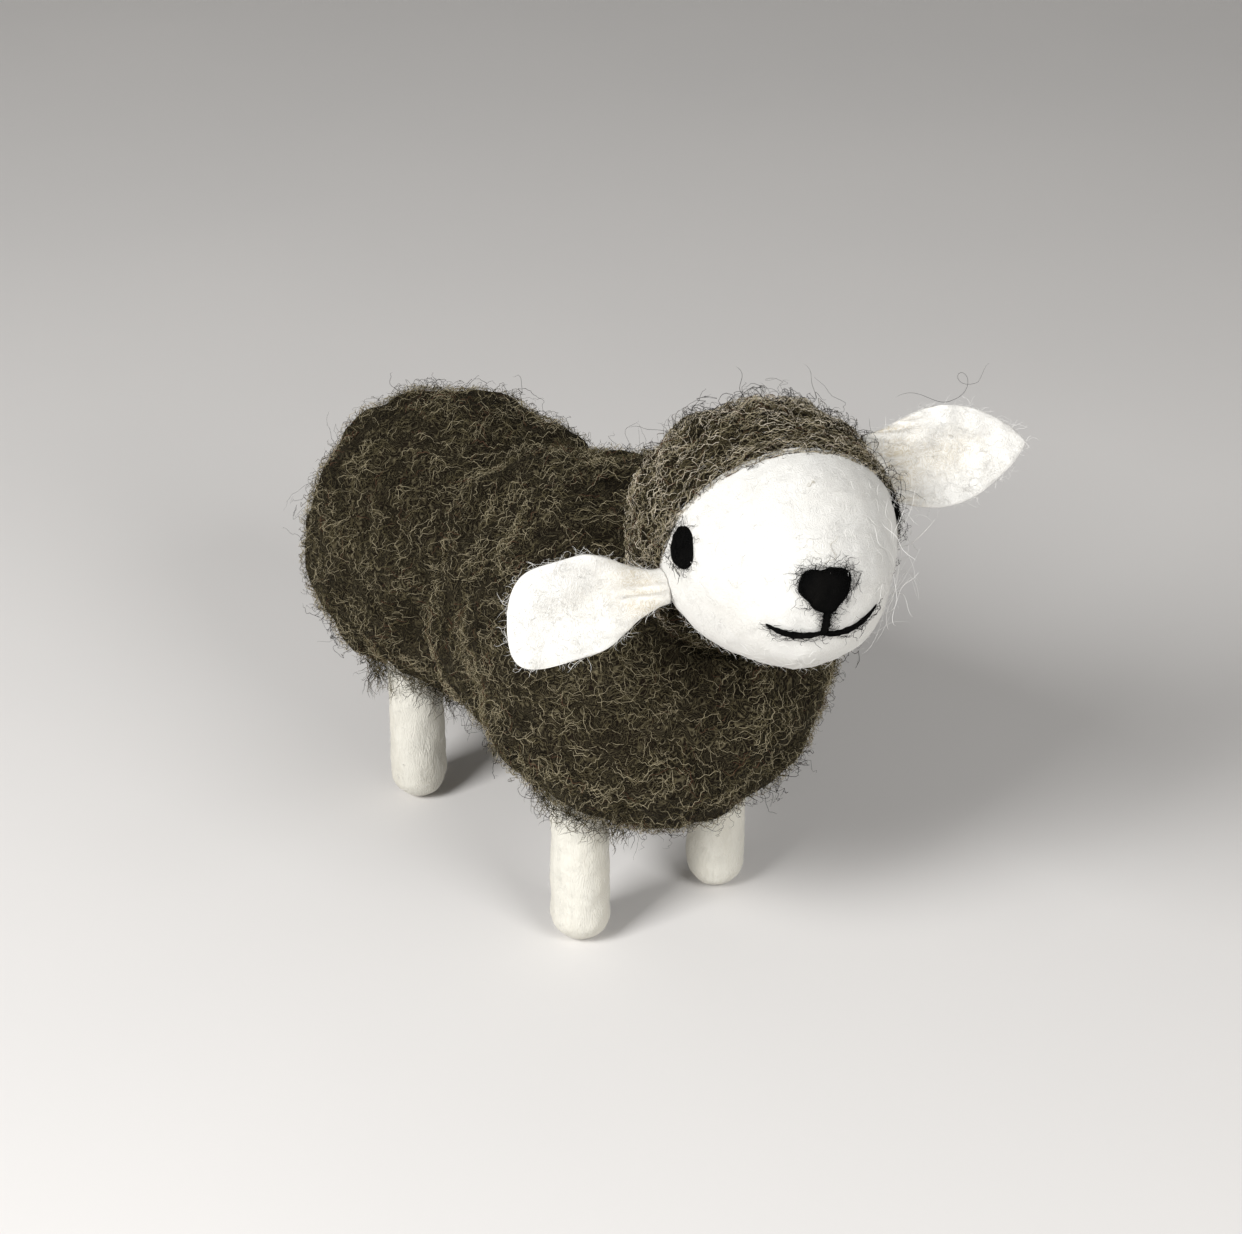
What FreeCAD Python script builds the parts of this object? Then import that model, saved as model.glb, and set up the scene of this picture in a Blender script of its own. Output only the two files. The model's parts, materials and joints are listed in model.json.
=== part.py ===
import FreeCAD, Part
import math
import os

# Needle-felted wool sheep on a bent-wire armature: a firm core wrapped in a curly fleece, four felt
# legs, and a felt head with a fleece hood, two ears, eyes, nose and mouth.
# Millimetres. The sheep faces -Y, its own left is +X, and +Z is up.
# The origin is on the floor, in the middle of the box that holds the whole figure.

Vector = FreeCAD.Vector
Rotation = FreeCAD.Rotation
Placement = FreeCAD.Placement

X_AXIS = Vector(1, 0, 0)
Z_AXIS = Vector(0, 0, 1)

# Body: two round lobes joined by a soft waist, all measured over the fleece.
CHEST_CENTRE = Vector(0, -23.5, 44.5)
CHEST_RADIUS = 25.3
RUMP_CENTRE = Vector(0, 28.0, 37.8)
RUMP_RADIUS = 22.4
WAIST_CURVE_RADIUS = 130.0
FLEECE_THICKNESS = 5.3

# Legs: straight felt rods with a ball at the hip and a rounded foot.
LEG_SIDE = 11.8
FRONT_LEG_Y = -23.4
REAR_LEG_Y = 21.0
FRONT_HIP_HEIGHT = 28.0
REAR_HIP_HEIGHT = 26.5
HIP_BALL_RADIUS = 5.0
LEG_TOP_RADIUS = 4.3
FOOT_RADIUS = 4.05
SOLE_RADIUS = 2.2
LEG_SWING = 12.0

# Head: a skull ball that runs into a smaller muzzle ball, turned towards the sheep's right.
HEAD_CENTRE = Vector(-1.0, -52.2, 73.1)
HEAD_TURN = -14.4
HEAD_TILT = -10.2
SKULL_RADIUS = 15.0
MUZZLE_OFFSET = Vector(0, -6.0, -2.4)
MUZZLE_RADIUS = 11.6
MUZZLE_CURVE_RADIUS = 60.0
HOOD_RADIUS = 18.0
HOOD_EDGE_Y = -2.7
HOOD_EDGE_LEAN = 14.0
HOOD_EDGE_SKEW = 1.0

# Neck: the head rests in a dish in the chest fleece, and turns and nods about one point.
NECK_PIVOT_OFFSET = Vector(0, 3.5, -0.8)
NECK_RADIUS = 3.0
NECK_LENGTH = 24.0
NECK_KNOT_RADIUS = 4.8
NECK_FLARE = 20.5
HOOD_GAP = 0.4
DISH_LINING = 1.1

# Face, in the head's own frame.
RIGHT_EYE_OFFSET = Vector(-14.1, -4.2, 2.9)
LEFT_EYE_OFFSET = Vector(14.4, -3.2, 2.9)
EYE_RADIUS = 2.5
EYE_DEPTH = 0.8
NOSE_OFFSET = Vector(-0.8, -17.6, -0.5)
NOSE_WIDTH = 7.2
NOSE_HEIGHT = 6.2
NOSE_DEPTH = 1.6
MOUTH_RIGHT = Vector(-7.7, -8.5, -2.3)
MOUTH_MIDDLE = Vector(-1.4, -10.8, -4.1)
MOUTH_LEFT = Vector(6.2, -9.6, -2.0)
MOUTH_THREAD_RADIUS = 0.5

# Ears: cupped leaves that fold fore and aft at the root.
EAR_LENGTH = 22.0
EAR_HALF_WIDTH = 6.4
EAR_ROOT_HALF_WIDTH = 2.4
EAR_THICKNESS = 2.4
EAR_CUP_RADIUS = 15.0
EAR_ROLL_RADIUS = 1.4
EAR_FLAP = 20.0
EAR_POCKET_DEPTH = 7.0
EAR_LEAN_BACK = 10.0
RIGHT_EAR_ROOT = Vector(-14.4, 0.6, -3.3)
RIGHT_EAR_REACH = Vector(-22.2, -2.9, -1.8)
LEFT_EAR_ROOT = Vector(13.2, 3.7, 6.2)
LEFT_EAR_REACH = Vector(22.2, -2.9, 0.4)

# Armature, running gaps, and the size of a cutting block that is larger than any part.
WIRE_RADIUS = 0.75
WIRE_BEND_RADIUS = 5.0
WIRE_SPACING = 2.0
GAP = 0.35
SPARE_ANGLE = 4.0
BEYOND = 60.0


def ball(centre, radius):
    """A sphere about a point."""
    return Part.makeSphere(radius, centre)


def arc_point(centre, radius, degrees):
    """The point of a circle in the XY plane at an angle from +X."""
    angle = math.radians(degrees)
    return centre + Vector(radius * math.cos(angle), radius * math.sin(angle), 0)


def lobed_solid(centre_a, radius_a, centre_b, radius_b, waist_radius):
    """Two balls joined by a hollow waist that is tangent to both, turned about their common axis."""
    span = (centre_b - centre_a).Length
    reach_a = radius_a + waist_radius
    reach_b = radius_b + waist_radius
    along = (span ** 2 + reach_a ** 2 - reach_b ** 2) / (2 * span)
    waist = Vector(along, math.sqrt(reach_a ** 2 - along ** 2), 0)
    far = Vector(span, 0, 0)
    angle_a = math.degrees(math.atan2(waist.y, waist.x))
    angle_b = math.degrees(math.atan2(waist.y, waist.x - span))
    start = Vector(-radius_a, 0, 0)
    end = Vector(span + radius_b, 0, 0)
    tangent_a = arc_point(Vector(0, 0, 0), radius_a, angle_a)
    tangent_b = arc_point(far, radius_b, angle_b)
    toward_a = tangent_a - waist
    toward_b = tangent_b - waist
    waist_middle = waist + (toward_a + toward_b).normalize() * waist_radius
    profile = Part.Wire([
        Part.Arc(start, arc_point(Vector(0, 0, 0), radius_a, (180 + angle_a) / 2), tangent_a).toShape(),
        Part.Arc(tangent_a, waist_middle, tangent_b).toShape(),
        Part.Arc(tangent_b, arc_point(far, radius_b, angle_b / 2), end).toShape(),
        Part.LineSegment(end, start).toShape(),
    ])
    solid = Part.Face(profile).revolve(Vector(0, 0, 0), X_AXIS, 360)
    solid.Placement = Placement(centre_a, Rotation(X_AXIS, centre_b - centre_a))
    return solid


def body_blank(inset):
    """The body's outline, moved inwards by a distance."""
    return lobed_solid(RUMP_CENTRE, RUMP_RADIUS - inset, CHEST_CENTRE, CHEST_RADIUS - inset,
                       WAIST_CURVE_RADIUS + inset)


def bent_wire(points):
    """A round wire through points, with an arc of the bend radius at each inner point."""
    edges = []
    start = points[0]
    for before, corner, after in zip(points, points[1:], points[2:]):
        towards = (before - corner).normalize()
        away = (after - corner).normalize()
        half_turn = math.acos(max(-1, min(1, towards.dot(away)))) / 2
        setback = WIRE_BEND_RADIUS / math.tan(half_turn)
        middle = corner + (towards + away).normalize() * WIRE_BEND_RADIUS * (1 / math.sin(half_turn) - 1)
        arc_start = corner + towards * setback
        arc_end = corner + away * setback
        edges.append(Part.LineSegment(start, arc_start).toShape())
        edges.append(Part.Arc(arc_start, middle, arc_end).toShape())
        start = arc_end
    edges.append(Part.LineSegment(start, points[-1]).toShape())
    section = Part.Wire(Part.makeCircle(WIRE_RADIUS, points[0], points[1] - points[0]))
    return Part.Wire(edges).makePipeShell([section], True, True)


def hip_points():
    """Each leg's name and the centre of its hip ball."""
    hips = {}
    for side, x in (("right", -LEG_SIDE), ("left", LEG_SIDE)):
        hips["front_" + side] = Vector(x, FRONT_LEG_Y, FRONT_HIP_HEIGHT)
        hips["rear_" + side] = Vector(x, REAR_LEG_Y, REAR_HIP_HEIGHT)
    return hips


def leg_blank(hip):
    """A hip ball, a tapered rod and a rounded foot, cut off flat at the floor for a small sole."""
    foot = Vector(hip.x, hip.y, math.sqrt(FOOT_RADIUS ** 2 - SOLE_RADIUS ** 2))
    rod = Part.makeCone(FOOT_RADIUS, LEG_TOP_RADIUS, hip.z - foot.z, foot, Z_AXIS)
    below_floor = Part.makeBox(BEYOND, BEYOND, BEYOND, hip - Vector(BEYOND / 2, BEYOND / 2, hip.z + BEYOND))
    return ball(hip, HIP_BALL_RADIUS).fuse([rod, ball(foot, FOOT_RADIUS)]).cut(below_floor).removeSplitter()


def leg_wire_blank(hip):
    """The straight wire in one leg, from just above the sole to past the hip ball's top."""
    bottom = Vector(hip.x, hip.y, SOLE_RADIUS)
    return Part.makeCylinder(WIRE_RADIUS, hip.z + HIP_BALL_RADIUS + 1 - bottom.z, bottom, Z_AXIS)


def hip_socket(hip):
    """The space a leg needs in the body: a ball, and a cone that the leg swings in."""
    depth = hip.z
    mouth = LEG_TOP_RADIUS + GAP + depth * math.tan(math.radians(LEG_SWING + 1))
    cone = Part.makeCone(LEG_TOP_RADIUS + GAP, mouth, depth, hip, Z_AXIS * -1)
    return ball(hip, HIP_BALL_RADIUS + GAP).fuse(cone)


def head_placement():
    """The head's own frame: X to the sheep's left, Y to the back of the head, Z up."""
    turn = Rotation(Z_AXIS, HEAD_TURN).multiply(Rotation(X_AXIS, HEAD_TILT))
    return Placement(HEAD_CENTRE, turn)


def in_head(point):
    """A point of the head's own frame, in the figure's frame."""
    return head_placement().multVec(point)


def head_blank():
    """The bare felt head: skull ball and muzzle ball in one."""
    return lobed_solid(HEAD_CENTRE, SKULL_RADIUS, in_head(MUZZLE_OFFSET), MUZZLE_RADIUS, MUZZLE_CURVE_RADIUS)


def neck_pivot():
    """The point that the head turns and nods about."""
    return in_head(NECK_PIVOT_OFFSET)


def neck_direction():
    """From the neck's pivot down and back towards the middle of the chest."""
    return (CHEST_CENTRE - neck_pivot()).normalize()


def neck_passage():
    """The flared way through the back of the head that the neck needs."""
    length = 1.2 * HOOD_RADIUS
    mouth = NECK_RADIUS + GAP + length * math.tan(math.radians(NECK_FLARE))
    return Part.makeCone(NECK_RADIUS + GAP, mouth, length, neck_pivot(), neck_direction())


def ear_placement(root, reach):
    """An ear's own frame: X out along the ear, Y across it, Z out of its cupped front face."""
    along = Vector(reach)
    along.normalize()
    front = Vector(0, -math.cos(math.radians(EAR_LEAN_BACK)), math.sin(math.radians(EAR_LEAN_BACK)))
    across = front.cross(along)
    across.normalize()
    local = Placement(root, Rotation(along, across, along.cross(across), "XYZ"))
    return head_placement().multiply(local)


def ear_leaf():
    """A leaf outline cut from a curved sheet, with a rolled root along Y, in the ear's own frame."""
    half_outline = [
        Vector(0, EAR_ROOT_HALF_WIDTH, 0),
        Vector(0.20 * EAR_LENGTH, 0.60 * EAR_HALF_WIDTH, 0),
        Vector(0.42 * EAR_LENGTH, 0.93 * EAR_HALF_WIDTH, 0),
        Vector(0.62 * EAR_LENGTH, EAR_HALF_WIDTH, 0),
        Vector(0.85 * EAR_LENGTH, 0.66 * EAR_HALF_WIDTH, 0),
    ]
    tip = Vector(EAR_LENGTH, 0, 0)
    other_half = [Vector(p.x, -p.y, 0) for p in reversed(half_outline)]
    curve = Part.BSplineCurve()
    curve.interpolate(half_outline + [tip] + other_half)
    outline = Part.Wire([curve.toShape(), Part.LineSegment(other_half[-1], half_outline[0]).toShape()])
    column = Part.Face(outline).extrude(Vector(0, 0, BEYOND))
    column.translate(Vector(0, 0, -BEYOND / 2))
    cup_axis = Vector(-1, 0, EAR_CUP_RADIUS + EAR_THICKNESS / 2)
    outer = Part.makeCylinder(EAR_CUP_RADIUS + EAR_THICKNESS, EAR_LENGTH + 2, cup_axis, X_AXIS)
    inner = Part.makeCylinder(EAR_CUP_RADIUS, EAR_LENGTH + 2, cup_axis, X_AXIS)
    below_axis = Part.makeBox(BEYOND, BEYOND, BEYOND, Vector(-BEYOND / 2, -BEYOND / 2, cup_axis.z - BEYOND))
    leaf = column.common(outer.cut(inner)).common(below_axis)
    roll = Part.makeCylinder(EAR_ROLL_RADIUS, 2 * EAR_ROOT_HALF_WIDTH,
                             Vector(0, -EAR_ROOT_HALF_WIDTH, 0), Vector(0, 1, 0))
    return leaf.fuse(roll).removeSplitter()


def ear_pocket():
    """The wedge of space that an ear's root folds in, in the ear's own frame."""
    half_width = 0.62 * EAR_HALF_WIDTH + GAP
    half_gap = EAR_ROLL_RADIUS + GAP
    spread = half_gap + EAR_POCKET_DEPTH * math.tan(math.radians(EAR_FLAP + SPARE_ANGLE))
    corners = [Vector(0, -half_width, -half_gap), Vector(EAR_POCKET_DEPTH, -half_width, -spread),
               Vector(EAR_POCKET_DEPTH, -half_width, spread), Vector(0, -half_width, half_gap)]
    wedge = Part.Face(Part.makePolygon(corners + corners[:1])).extrude(Vector(0, 2 * half_width, 0))
    roll = Part.makeCylinder(half_gap, 2 * half_width, Vector(0, -half_width, 0), Vector(0, 1, 0))
    return wedge.fuse(roll)


def placed(shape, placement):
    """A copy of a shape, moved into a frame."""
    copy = shape.copy()
    copy.Placement = placement.multiply(copy.Placement)
    return copy


def flattened_ball(centre, outward, half_sizes):
    """A ball scaled to three half sizes, across, outward and up, facing outward from a surface."""
    matrix = FreeCAD.Matrix()
    matrix.scale(half_sizes)
    pad = Part.makeSphere(1.0).transformGeometry(matrix)
    return placed(pad, Placement(centre, Rotation(Vector(0, -1, 0), outward)))


def eye(offset):
    """A round pad of felt half sunk in the side of the skull, in the figure's frame."""
    outward = Vector(offset)
    outward.normalize()
    pad = flattened_ball(outward * SKULL_RADIUS, outward, Vector(EYE_RADIUS, EYE_DEPTH, EYE_RADIUS))
    return placed(pad, head_placement())


def nose():
    """An oval pad half sunk in the front of the muzzle, in the figure's frame."""
    outward = (NOSE_OFFSET - MUZZLE_OFFSET).normalize()
    half_sizes = Vector(NOSE_WIDTH / 2, NOSE_DEPTH / 2, NOSE_HEIGHT / 2)
    pad = flattened_ball(MUZZLE_OFFSET + outward * MUZZLE_RADIUS, outward, half_sizes)
    return placed(pad, head_placement())


def mouth():
    """A felted thread: a wide smile on the muzzle's ball, and a short stem up to the nose."""
    on_muzzle = [MUZZLE_OFFSET + point.normalize() * MUZZLE_RADIUS
                 for point in (Vector(MOUTH_RIGHT), Vector(MOUTH_MIDDLE), Vector(MOUTH_LEFT))]
    smile = Part.Wire(Part.Arc(*on_muzzle).toShape())
    direction = smile.Edges[0].tangentAt(smile.Edges[0].FirstParameter)
    section = Part.Wire(Part.makeCircle(MOUTH_THREAD_RADIUS, smile.Edges[0].Vertexes[0].Point, direction))
    thread = smile.makePipeShell([section], True, True)
    stem_top = MUZZLE_OFFSET + (NOSE_OFFSET - MUZZLE_OFFSET).normalize() * (MUZZLE_RADIUS - 0.4)
    stem_line = on_muzzle[1] - stem_top
    stem = Part.makeCylinder(MOUTH_THREAD_RADIUS, stem_line.Length, stem_top, stem_line)
    return placed(thread.fuse(stem), head_placement()).cut(nose())


def torso_parts():
    """The body's core, fleece, neck wrap and armature wires."""
    pivot = neck_pivot()
    neck = neck_direction()
    hips = hip_points()
    sockets = [hip_socket(hip) for hip in hips.values()]

    neck_start = pivot + neck * NECK_LENGTH
    neck_end = pivot + neck * (NECK_KNOT_RADIUS + GAP)
    knot_space = ball(pivot, NECK_KNOT_RADIUS + GAP)
    spine_rear = Vector(0, RUMP_CENTRE.y + RUMP_RADIUS - 2 * FLEECE_THICKNESS, RUMP_CENTRE.z)
    spine = bent_wire([spine_rear, CHEST_CENTRE, pivot]).cut(knot_space)

    yokes = {}
    for end in ("front", "rear"):
        right = hips[end + "_right"]
        left = hips[end + "_left"]
        height = CHEST_CENTRE.z if end == "front" else RUMP_CENTRE.z
        crossbar = height - WIRE_SPACING
        points = [right, Vector(right.x, right.y, crossbar), Vector(left.x, left.y, crossbar), left]
        yokes[end] = bent_wire(points).cut([hip_socket(right), hip_socket(left)])

    wires = [spine] + list(yokes.values())
    core_blank = body_blank(FLEECE_THICKNESS).cut(ball(pivot, HOOD_RADIUS + HOOD_GAP + DISH_LINING))
    wrap = Part.makeCylinder(NECK_RADIUS, (neck_start - neck_end).Length + 1, neck_start, neck * -1)
    wrap = wrap.cut(knot_space)
    fleece = body_blank(0).cut([core_blank, ball(pivot, HOOD_RADIUS + HOOD_GAP), wrap] + sockets)
    return {
        "body_core": core_blank.cut([wrap] + sockets + wires),
        "body_fleece": fleece,
        "neck_wrap": wrap.cut(spine),
        "spine_wire": spine,
        "front_leg_yoke_wire": yokes["front"],
        "rear_leg_yoke_wire": yokes["rear"],
    }


def leg_parts():
    """Each leg and the wire inside it."""
    parts = {}
    for name, hip in hip_points().items():
        blank = leg_blank(hip)
        wire = leg_wire_blank(hip).common(blank)
        parts[name + "_leg"] = blank.cut(wire)
        parts[name + "_leg_wire"] = wire
    return parts


def head_parts():
    """The felt head, its fleece hood, the face, the ears and the end of the armature."""
    pivot = neck_pivot()
    skull = head_blank()
    ears = {
        "right_ear": ear_placement(RIGHT_EAR_ROOT, RIGHT_EAR_REACH),
        "left_ear": ear_placement(LEFT_EAR_ROOT, LEFT_EAR_REACH),
    }
    pockets = [placed(ear_pocket(), placement) for placement in ears.values()]
    eye_offsets = {"right_eye": RIGHT_EYE_OFFSET, "left_eye": LEFT_EYE_OFFSET}
    eyes = {name: eye(offset) for name, offset in eye_offsets.items()}
    eye_clearings = [ball(in_head(offset), EYE_RADIUS + GAP) for offset in eye_offsets.values()]
    nose_pad = nose()
    mouth_thread = mouth()

    cavity = ball(pivot, NECK_KNOT_RADIUS + GAP).fuse(neck_passage())
    forward = in_head(Vector(0, -1, 0)) - in_head(Vector(0, 0, 0))
    wire = Part.makeCylinder(WIRE_RADIUS, SKULL_RADIUS, pivot, forward).cut(cavity)

    hood_edge = Rotation(X_AXIS, HOOD_EDGE_LEAN).multiply(Rotation(Z_AXIS, HOOD_EDGE_SKEW))
    front_half = Part.makeBox(BEYOND, BEYOND, BEYOND, Vector(-BEYOND / 2, -BEYOND, -BEYOND / 2))
    front_half.Placement = Placement(Vector(0, HOOD_EDGE_Y, 0), hood_edge)
    hood = ball(pivot, HOOD_RADIUS).cut([skull, placed(front_half, head_placement())])
    hood = hood.cut([cavity] + pockets + eye_clearings)

    parts = {
        "head": skull.cut([cavity, wire] + pockets + list(eyes.values()) + [nose_pad, mouth_thread]),
        "head_fleece": hood,
        "head_wire": wire,
        "neck_knot": ball(pivot, NECK_KNOT_RADIUS),
        "nose": nose_pad,
        "mouth": mouth_thread,
    }
    parts.update(eyes)
    for name, placement in ears.items():
        parts[name] = placed(ear_leaf(), placement)
    return parts


def floor_middle(parts):
    """The middle of the figure's box, on the floor."""
    box = Part.makeCompound(list(parts.values())).optimalBoundingBox(False)
    return Vector((box.XMin + box.XMax) / 2, (box.YMin + box.YMax) / 2, 0)


def largest_solid(shape):
    """The one solid that a sub-part is, without any sliver that a cut leaves."""
    return max(shape.Solids, key=lambda solid: solid.Volume)


PARTS = {**torso_parts(), **leg_parts(), **head_parts()}
ORIGIN = floor_middle(PARTS)

os.makedirs("parts", exist_ok=True)
for node, shape in PARTS.items():
    solid = largest_solid(shape)
    solid.translate(ORIGIN * -1)
    solid.exportStep("parts/" + node + ".step")
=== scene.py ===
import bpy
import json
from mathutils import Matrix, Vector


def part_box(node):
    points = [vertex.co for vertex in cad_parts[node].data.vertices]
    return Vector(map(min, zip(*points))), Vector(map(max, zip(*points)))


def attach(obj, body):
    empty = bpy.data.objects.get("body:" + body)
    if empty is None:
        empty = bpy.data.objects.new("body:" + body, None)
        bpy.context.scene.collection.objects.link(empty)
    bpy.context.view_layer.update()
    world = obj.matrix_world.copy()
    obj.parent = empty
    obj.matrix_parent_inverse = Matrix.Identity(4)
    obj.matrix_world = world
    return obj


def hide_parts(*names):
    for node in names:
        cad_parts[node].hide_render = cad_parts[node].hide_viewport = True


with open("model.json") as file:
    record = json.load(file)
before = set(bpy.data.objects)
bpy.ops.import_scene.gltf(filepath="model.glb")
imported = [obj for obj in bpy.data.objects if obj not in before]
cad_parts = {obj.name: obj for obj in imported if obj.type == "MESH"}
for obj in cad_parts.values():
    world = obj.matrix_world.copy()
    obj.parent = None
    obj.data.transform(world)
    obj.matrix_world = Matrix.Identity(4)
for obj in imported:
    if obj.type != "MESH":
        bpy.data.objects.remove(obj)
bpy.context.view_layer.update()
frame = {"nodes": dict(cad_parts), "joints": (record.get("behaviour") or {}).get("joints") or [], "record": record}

import json
import logging
import math
from dataclasses import dataclass, field
from enum import Enum
from typing import Any, Callable, Optional, Union

import bpy
import numpy as np

Array = np.ndarray
Snap = Callable[[Array, Array], tuple[Array, Array]]
MM = 0.001
TURN = 2 * math.pi
LEFT, BACK, UP = np.eye(3)
# the attribute that holds painted shade on a piece
PAINTED_SHADE = "stain"

logging.basicConfig(level=logging.INFO, format="%(name)s: %(message)s")
log = logging.getLogger("sheep")


# ---------------------------------------------------------------- small vector helpers

def unit(vectors: Array) -> Array:
    """Vectors scaled to length one along the last axis."""
    return vectors / np.maximum(np.linalg.norm(vectors, axis=-1, keepdims=True), 1e-12)


def dot(a: Array, b: Array) -> Array:
    """Dot products along the last axis, which is kept."""
    return (a * b).sum(-1, keepdims=True)


def smooth_step(low: float, high: float, values: Array) -> Array:
    """Zero below low, one above high, and a smooth cubic between them."""
    t = np.clip((values - low) / (high - low), 0.0, 1.0)
    return t * t * (3 - 2 * t)


def turn_angles(count: int) -> Array:
    """Angles spread evenly round one turn."""
    return np.arange(count) / count * TURN


def around(angle: Array, first: Array, second: Array) -> Array:
    """Directions at an angle from the first of two directions towards the second."""
    return np.cos(angle) * first + np.sin(angle) * second


def node_box(name: str) -> tuple[Array, Array]:
    """A CAD node's lowest and highest corners."""
    low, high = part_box(name)
    return np.array(low), np.array(high)


def node_middle(name: str) -> Array:
    """The middle of a CAD node's box."""
    low, high = node_box(name)
    return (low + high) / 2


def joint(name: str) -> dict[str, Any]:
    """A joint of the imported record, found by name."""
    return next(j for j in frame["joints"] if j["name"] == name)


def pivot(name: str) -> Array:
    """The point that a joint turns about."""
    return np.array(joint(name)["pos_m"], float)


# ---------------------------------------------------------------- meshes from arrays

def mesh_object(name: str, vertices: Array, faces: list[Array]) -> bpy.types.Object:
    """Puts arrays of points and faces into a smooth-shaded mesh object at the origin.

    Args:
        name: the piece's name.
        vertices: points, one a row, in metres.
        faces: arrays of vertex numbers, one face a row, each array with its own face size.

    Returns:
        The new object, linked to the scene.
    """
    mesh = bpy.data.meshes.new(name)
    mesh.vertices.add(len(vertices))
    mesh.vertices.foreach_set("co", np.ascontiguousarray(vertices, np.float32).ravel())
    corners = np.concatenate([f.ravel() for f in faces]).astype(np.int32)
    sizes = np.concatenate([np.full(len(f), f.shape[1]) for f in faces])
    starts = np.concatenate([[0], np.cumsum(sizes)[:-1]]).astype(np.int32)
    mesh.loops.add(len(corners))
    mesh.loops.foreach_set("vertex_index", corners)
    mesh.polygons.add(len(sizes))
    mesh.polygons.foreach_set("loop_start", starts)
    mesh.polygons.foreach_set("use_smooth", np.ones(len(sizes), bool))
    mesh.update(calc_edges=True)
    piece = bpy.data.objects.new(name, mesh)
    bpy.context.scene.collection.objects.link(piece)
    return piece


@dataclass
class Skin:
    """A closed surface on a grid of points.

    Rows run from pole to pole and columns run round. The first and last rows each shrink to one point.
    """

    grid: Array

    def points_and_faces(self) -> tuple[Array, list[Array]]:
        """The grid as points, quads and two fans of triangles, facing outwards."""
        rows, columns, _ = self.grid.shape
        ring = self.grid[1:-1].reshape(-1, 3)
        points = np.concatenate([self.grid[0, :1], ring, self.grid[-1, :1]])
        number = 1 + np.arange((rows - 2) * columns).reshape(rows - 2, columns)
        after = np.roll(number, -1, axis=1)
        quads = np.stack([number[:-1], after[:-1], after[1:], number[1:]], -1).reshape(-1, 4)
        first = np.stack([np.zeros(columns, int), after[0], number[0]], -1)
        last = np.stack([np.full(columns, len(points) - 1), number[-1], after[-1]], -1)
        faces = [quads, first, last]
        a, b, c = (points[quads[:, k]] for k in (0, 1, 2))
        if (a * np.cross(b, c)).sum() < 0:
            faces = [f[:, ::-1] for f in faces]
        return points, faces

    def piece(self, name: str) -> bpy.types.Object:
        """The surface as a mesh object."""
        return mesh_object(name, *self.points_and_faces())

    def scatter(self, count: int, rng: np.random.Generator) -> tuple[Array, Array]:
        """Random points on the surface, spread evenly by area.

        Args:
            count: how many points.
            rng: the seeded source of chance.

        Returns:
            The points and the outward normals there.
        """
        points, faces = self.points_and_faces()
        quads = faces[0]
        triangles = np.concatenate([quads[:, [0, 1, 2]], quads[:, [0, 2, 3]]])
        a, b, c = (points[triangles[:, k]] for k in range(3))
        normals = np.cross(b - a, c - a)
        areas = np.linalg.norm(normals, axis=1)
        chosen = rng.choice(len(areas), count, p=areas / areas.sum())
        s, t = rng.random((2, count, 1))
        s, t = np.where(s + t > 1, 1 - s, s), np.where(s + t > 1, 1 - t, t)
        places = a[chosen] + s * (b - a)[chosen] + t * (c - a)[chosen]
        return places, unit(normals[chosen])


def mark(piece: bpy.types.Object, skin: Skin, amount: Array) -> None:
    """Stores how much painted shade darkens the felt at each point of a skin's grid, for its finish to read."""
    values = np.broadcast_to(amount, skin.grid.shape[:2])
    flat = np.concatenate([values[0, :1], values[1:-1].ravel(), values[-1, :1]]).astype(np.float32)
    layer = piece.data.attributes.new(PAINTED_SHADE, "FLOAT", "POINT")
    layer.data.foreach_set("value", flat)


@dataclass(frozen=True)
class LumpField:
    """Smooth bumps in space: the sum of sine waves that run in seeded directions.

    Attributes:
        seed: picks the waves.
        size: about how far one bump is from the next, in metres.
        waves: how many waves are added.
    """

    seed: int
    size: float
    waves: int = 16

    def at(self, points: Array) -> Array:
        """The height at each point, mostly between -1 and 1."""
        rng = np.random.default_rng(self.seed)
        heading = unit(rng.normal(size=(self.waves, 3)))
        pitch = rng.uniform(0.6, 1.5, (self.waves, 1)) * TURN / self.size
        phase = rng.uniform(0, TURN, self.waves)
        return np.sin(points @ (heading * pitch).T + phase).sum(-1) / math.sqrt(self.waves)


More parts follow.
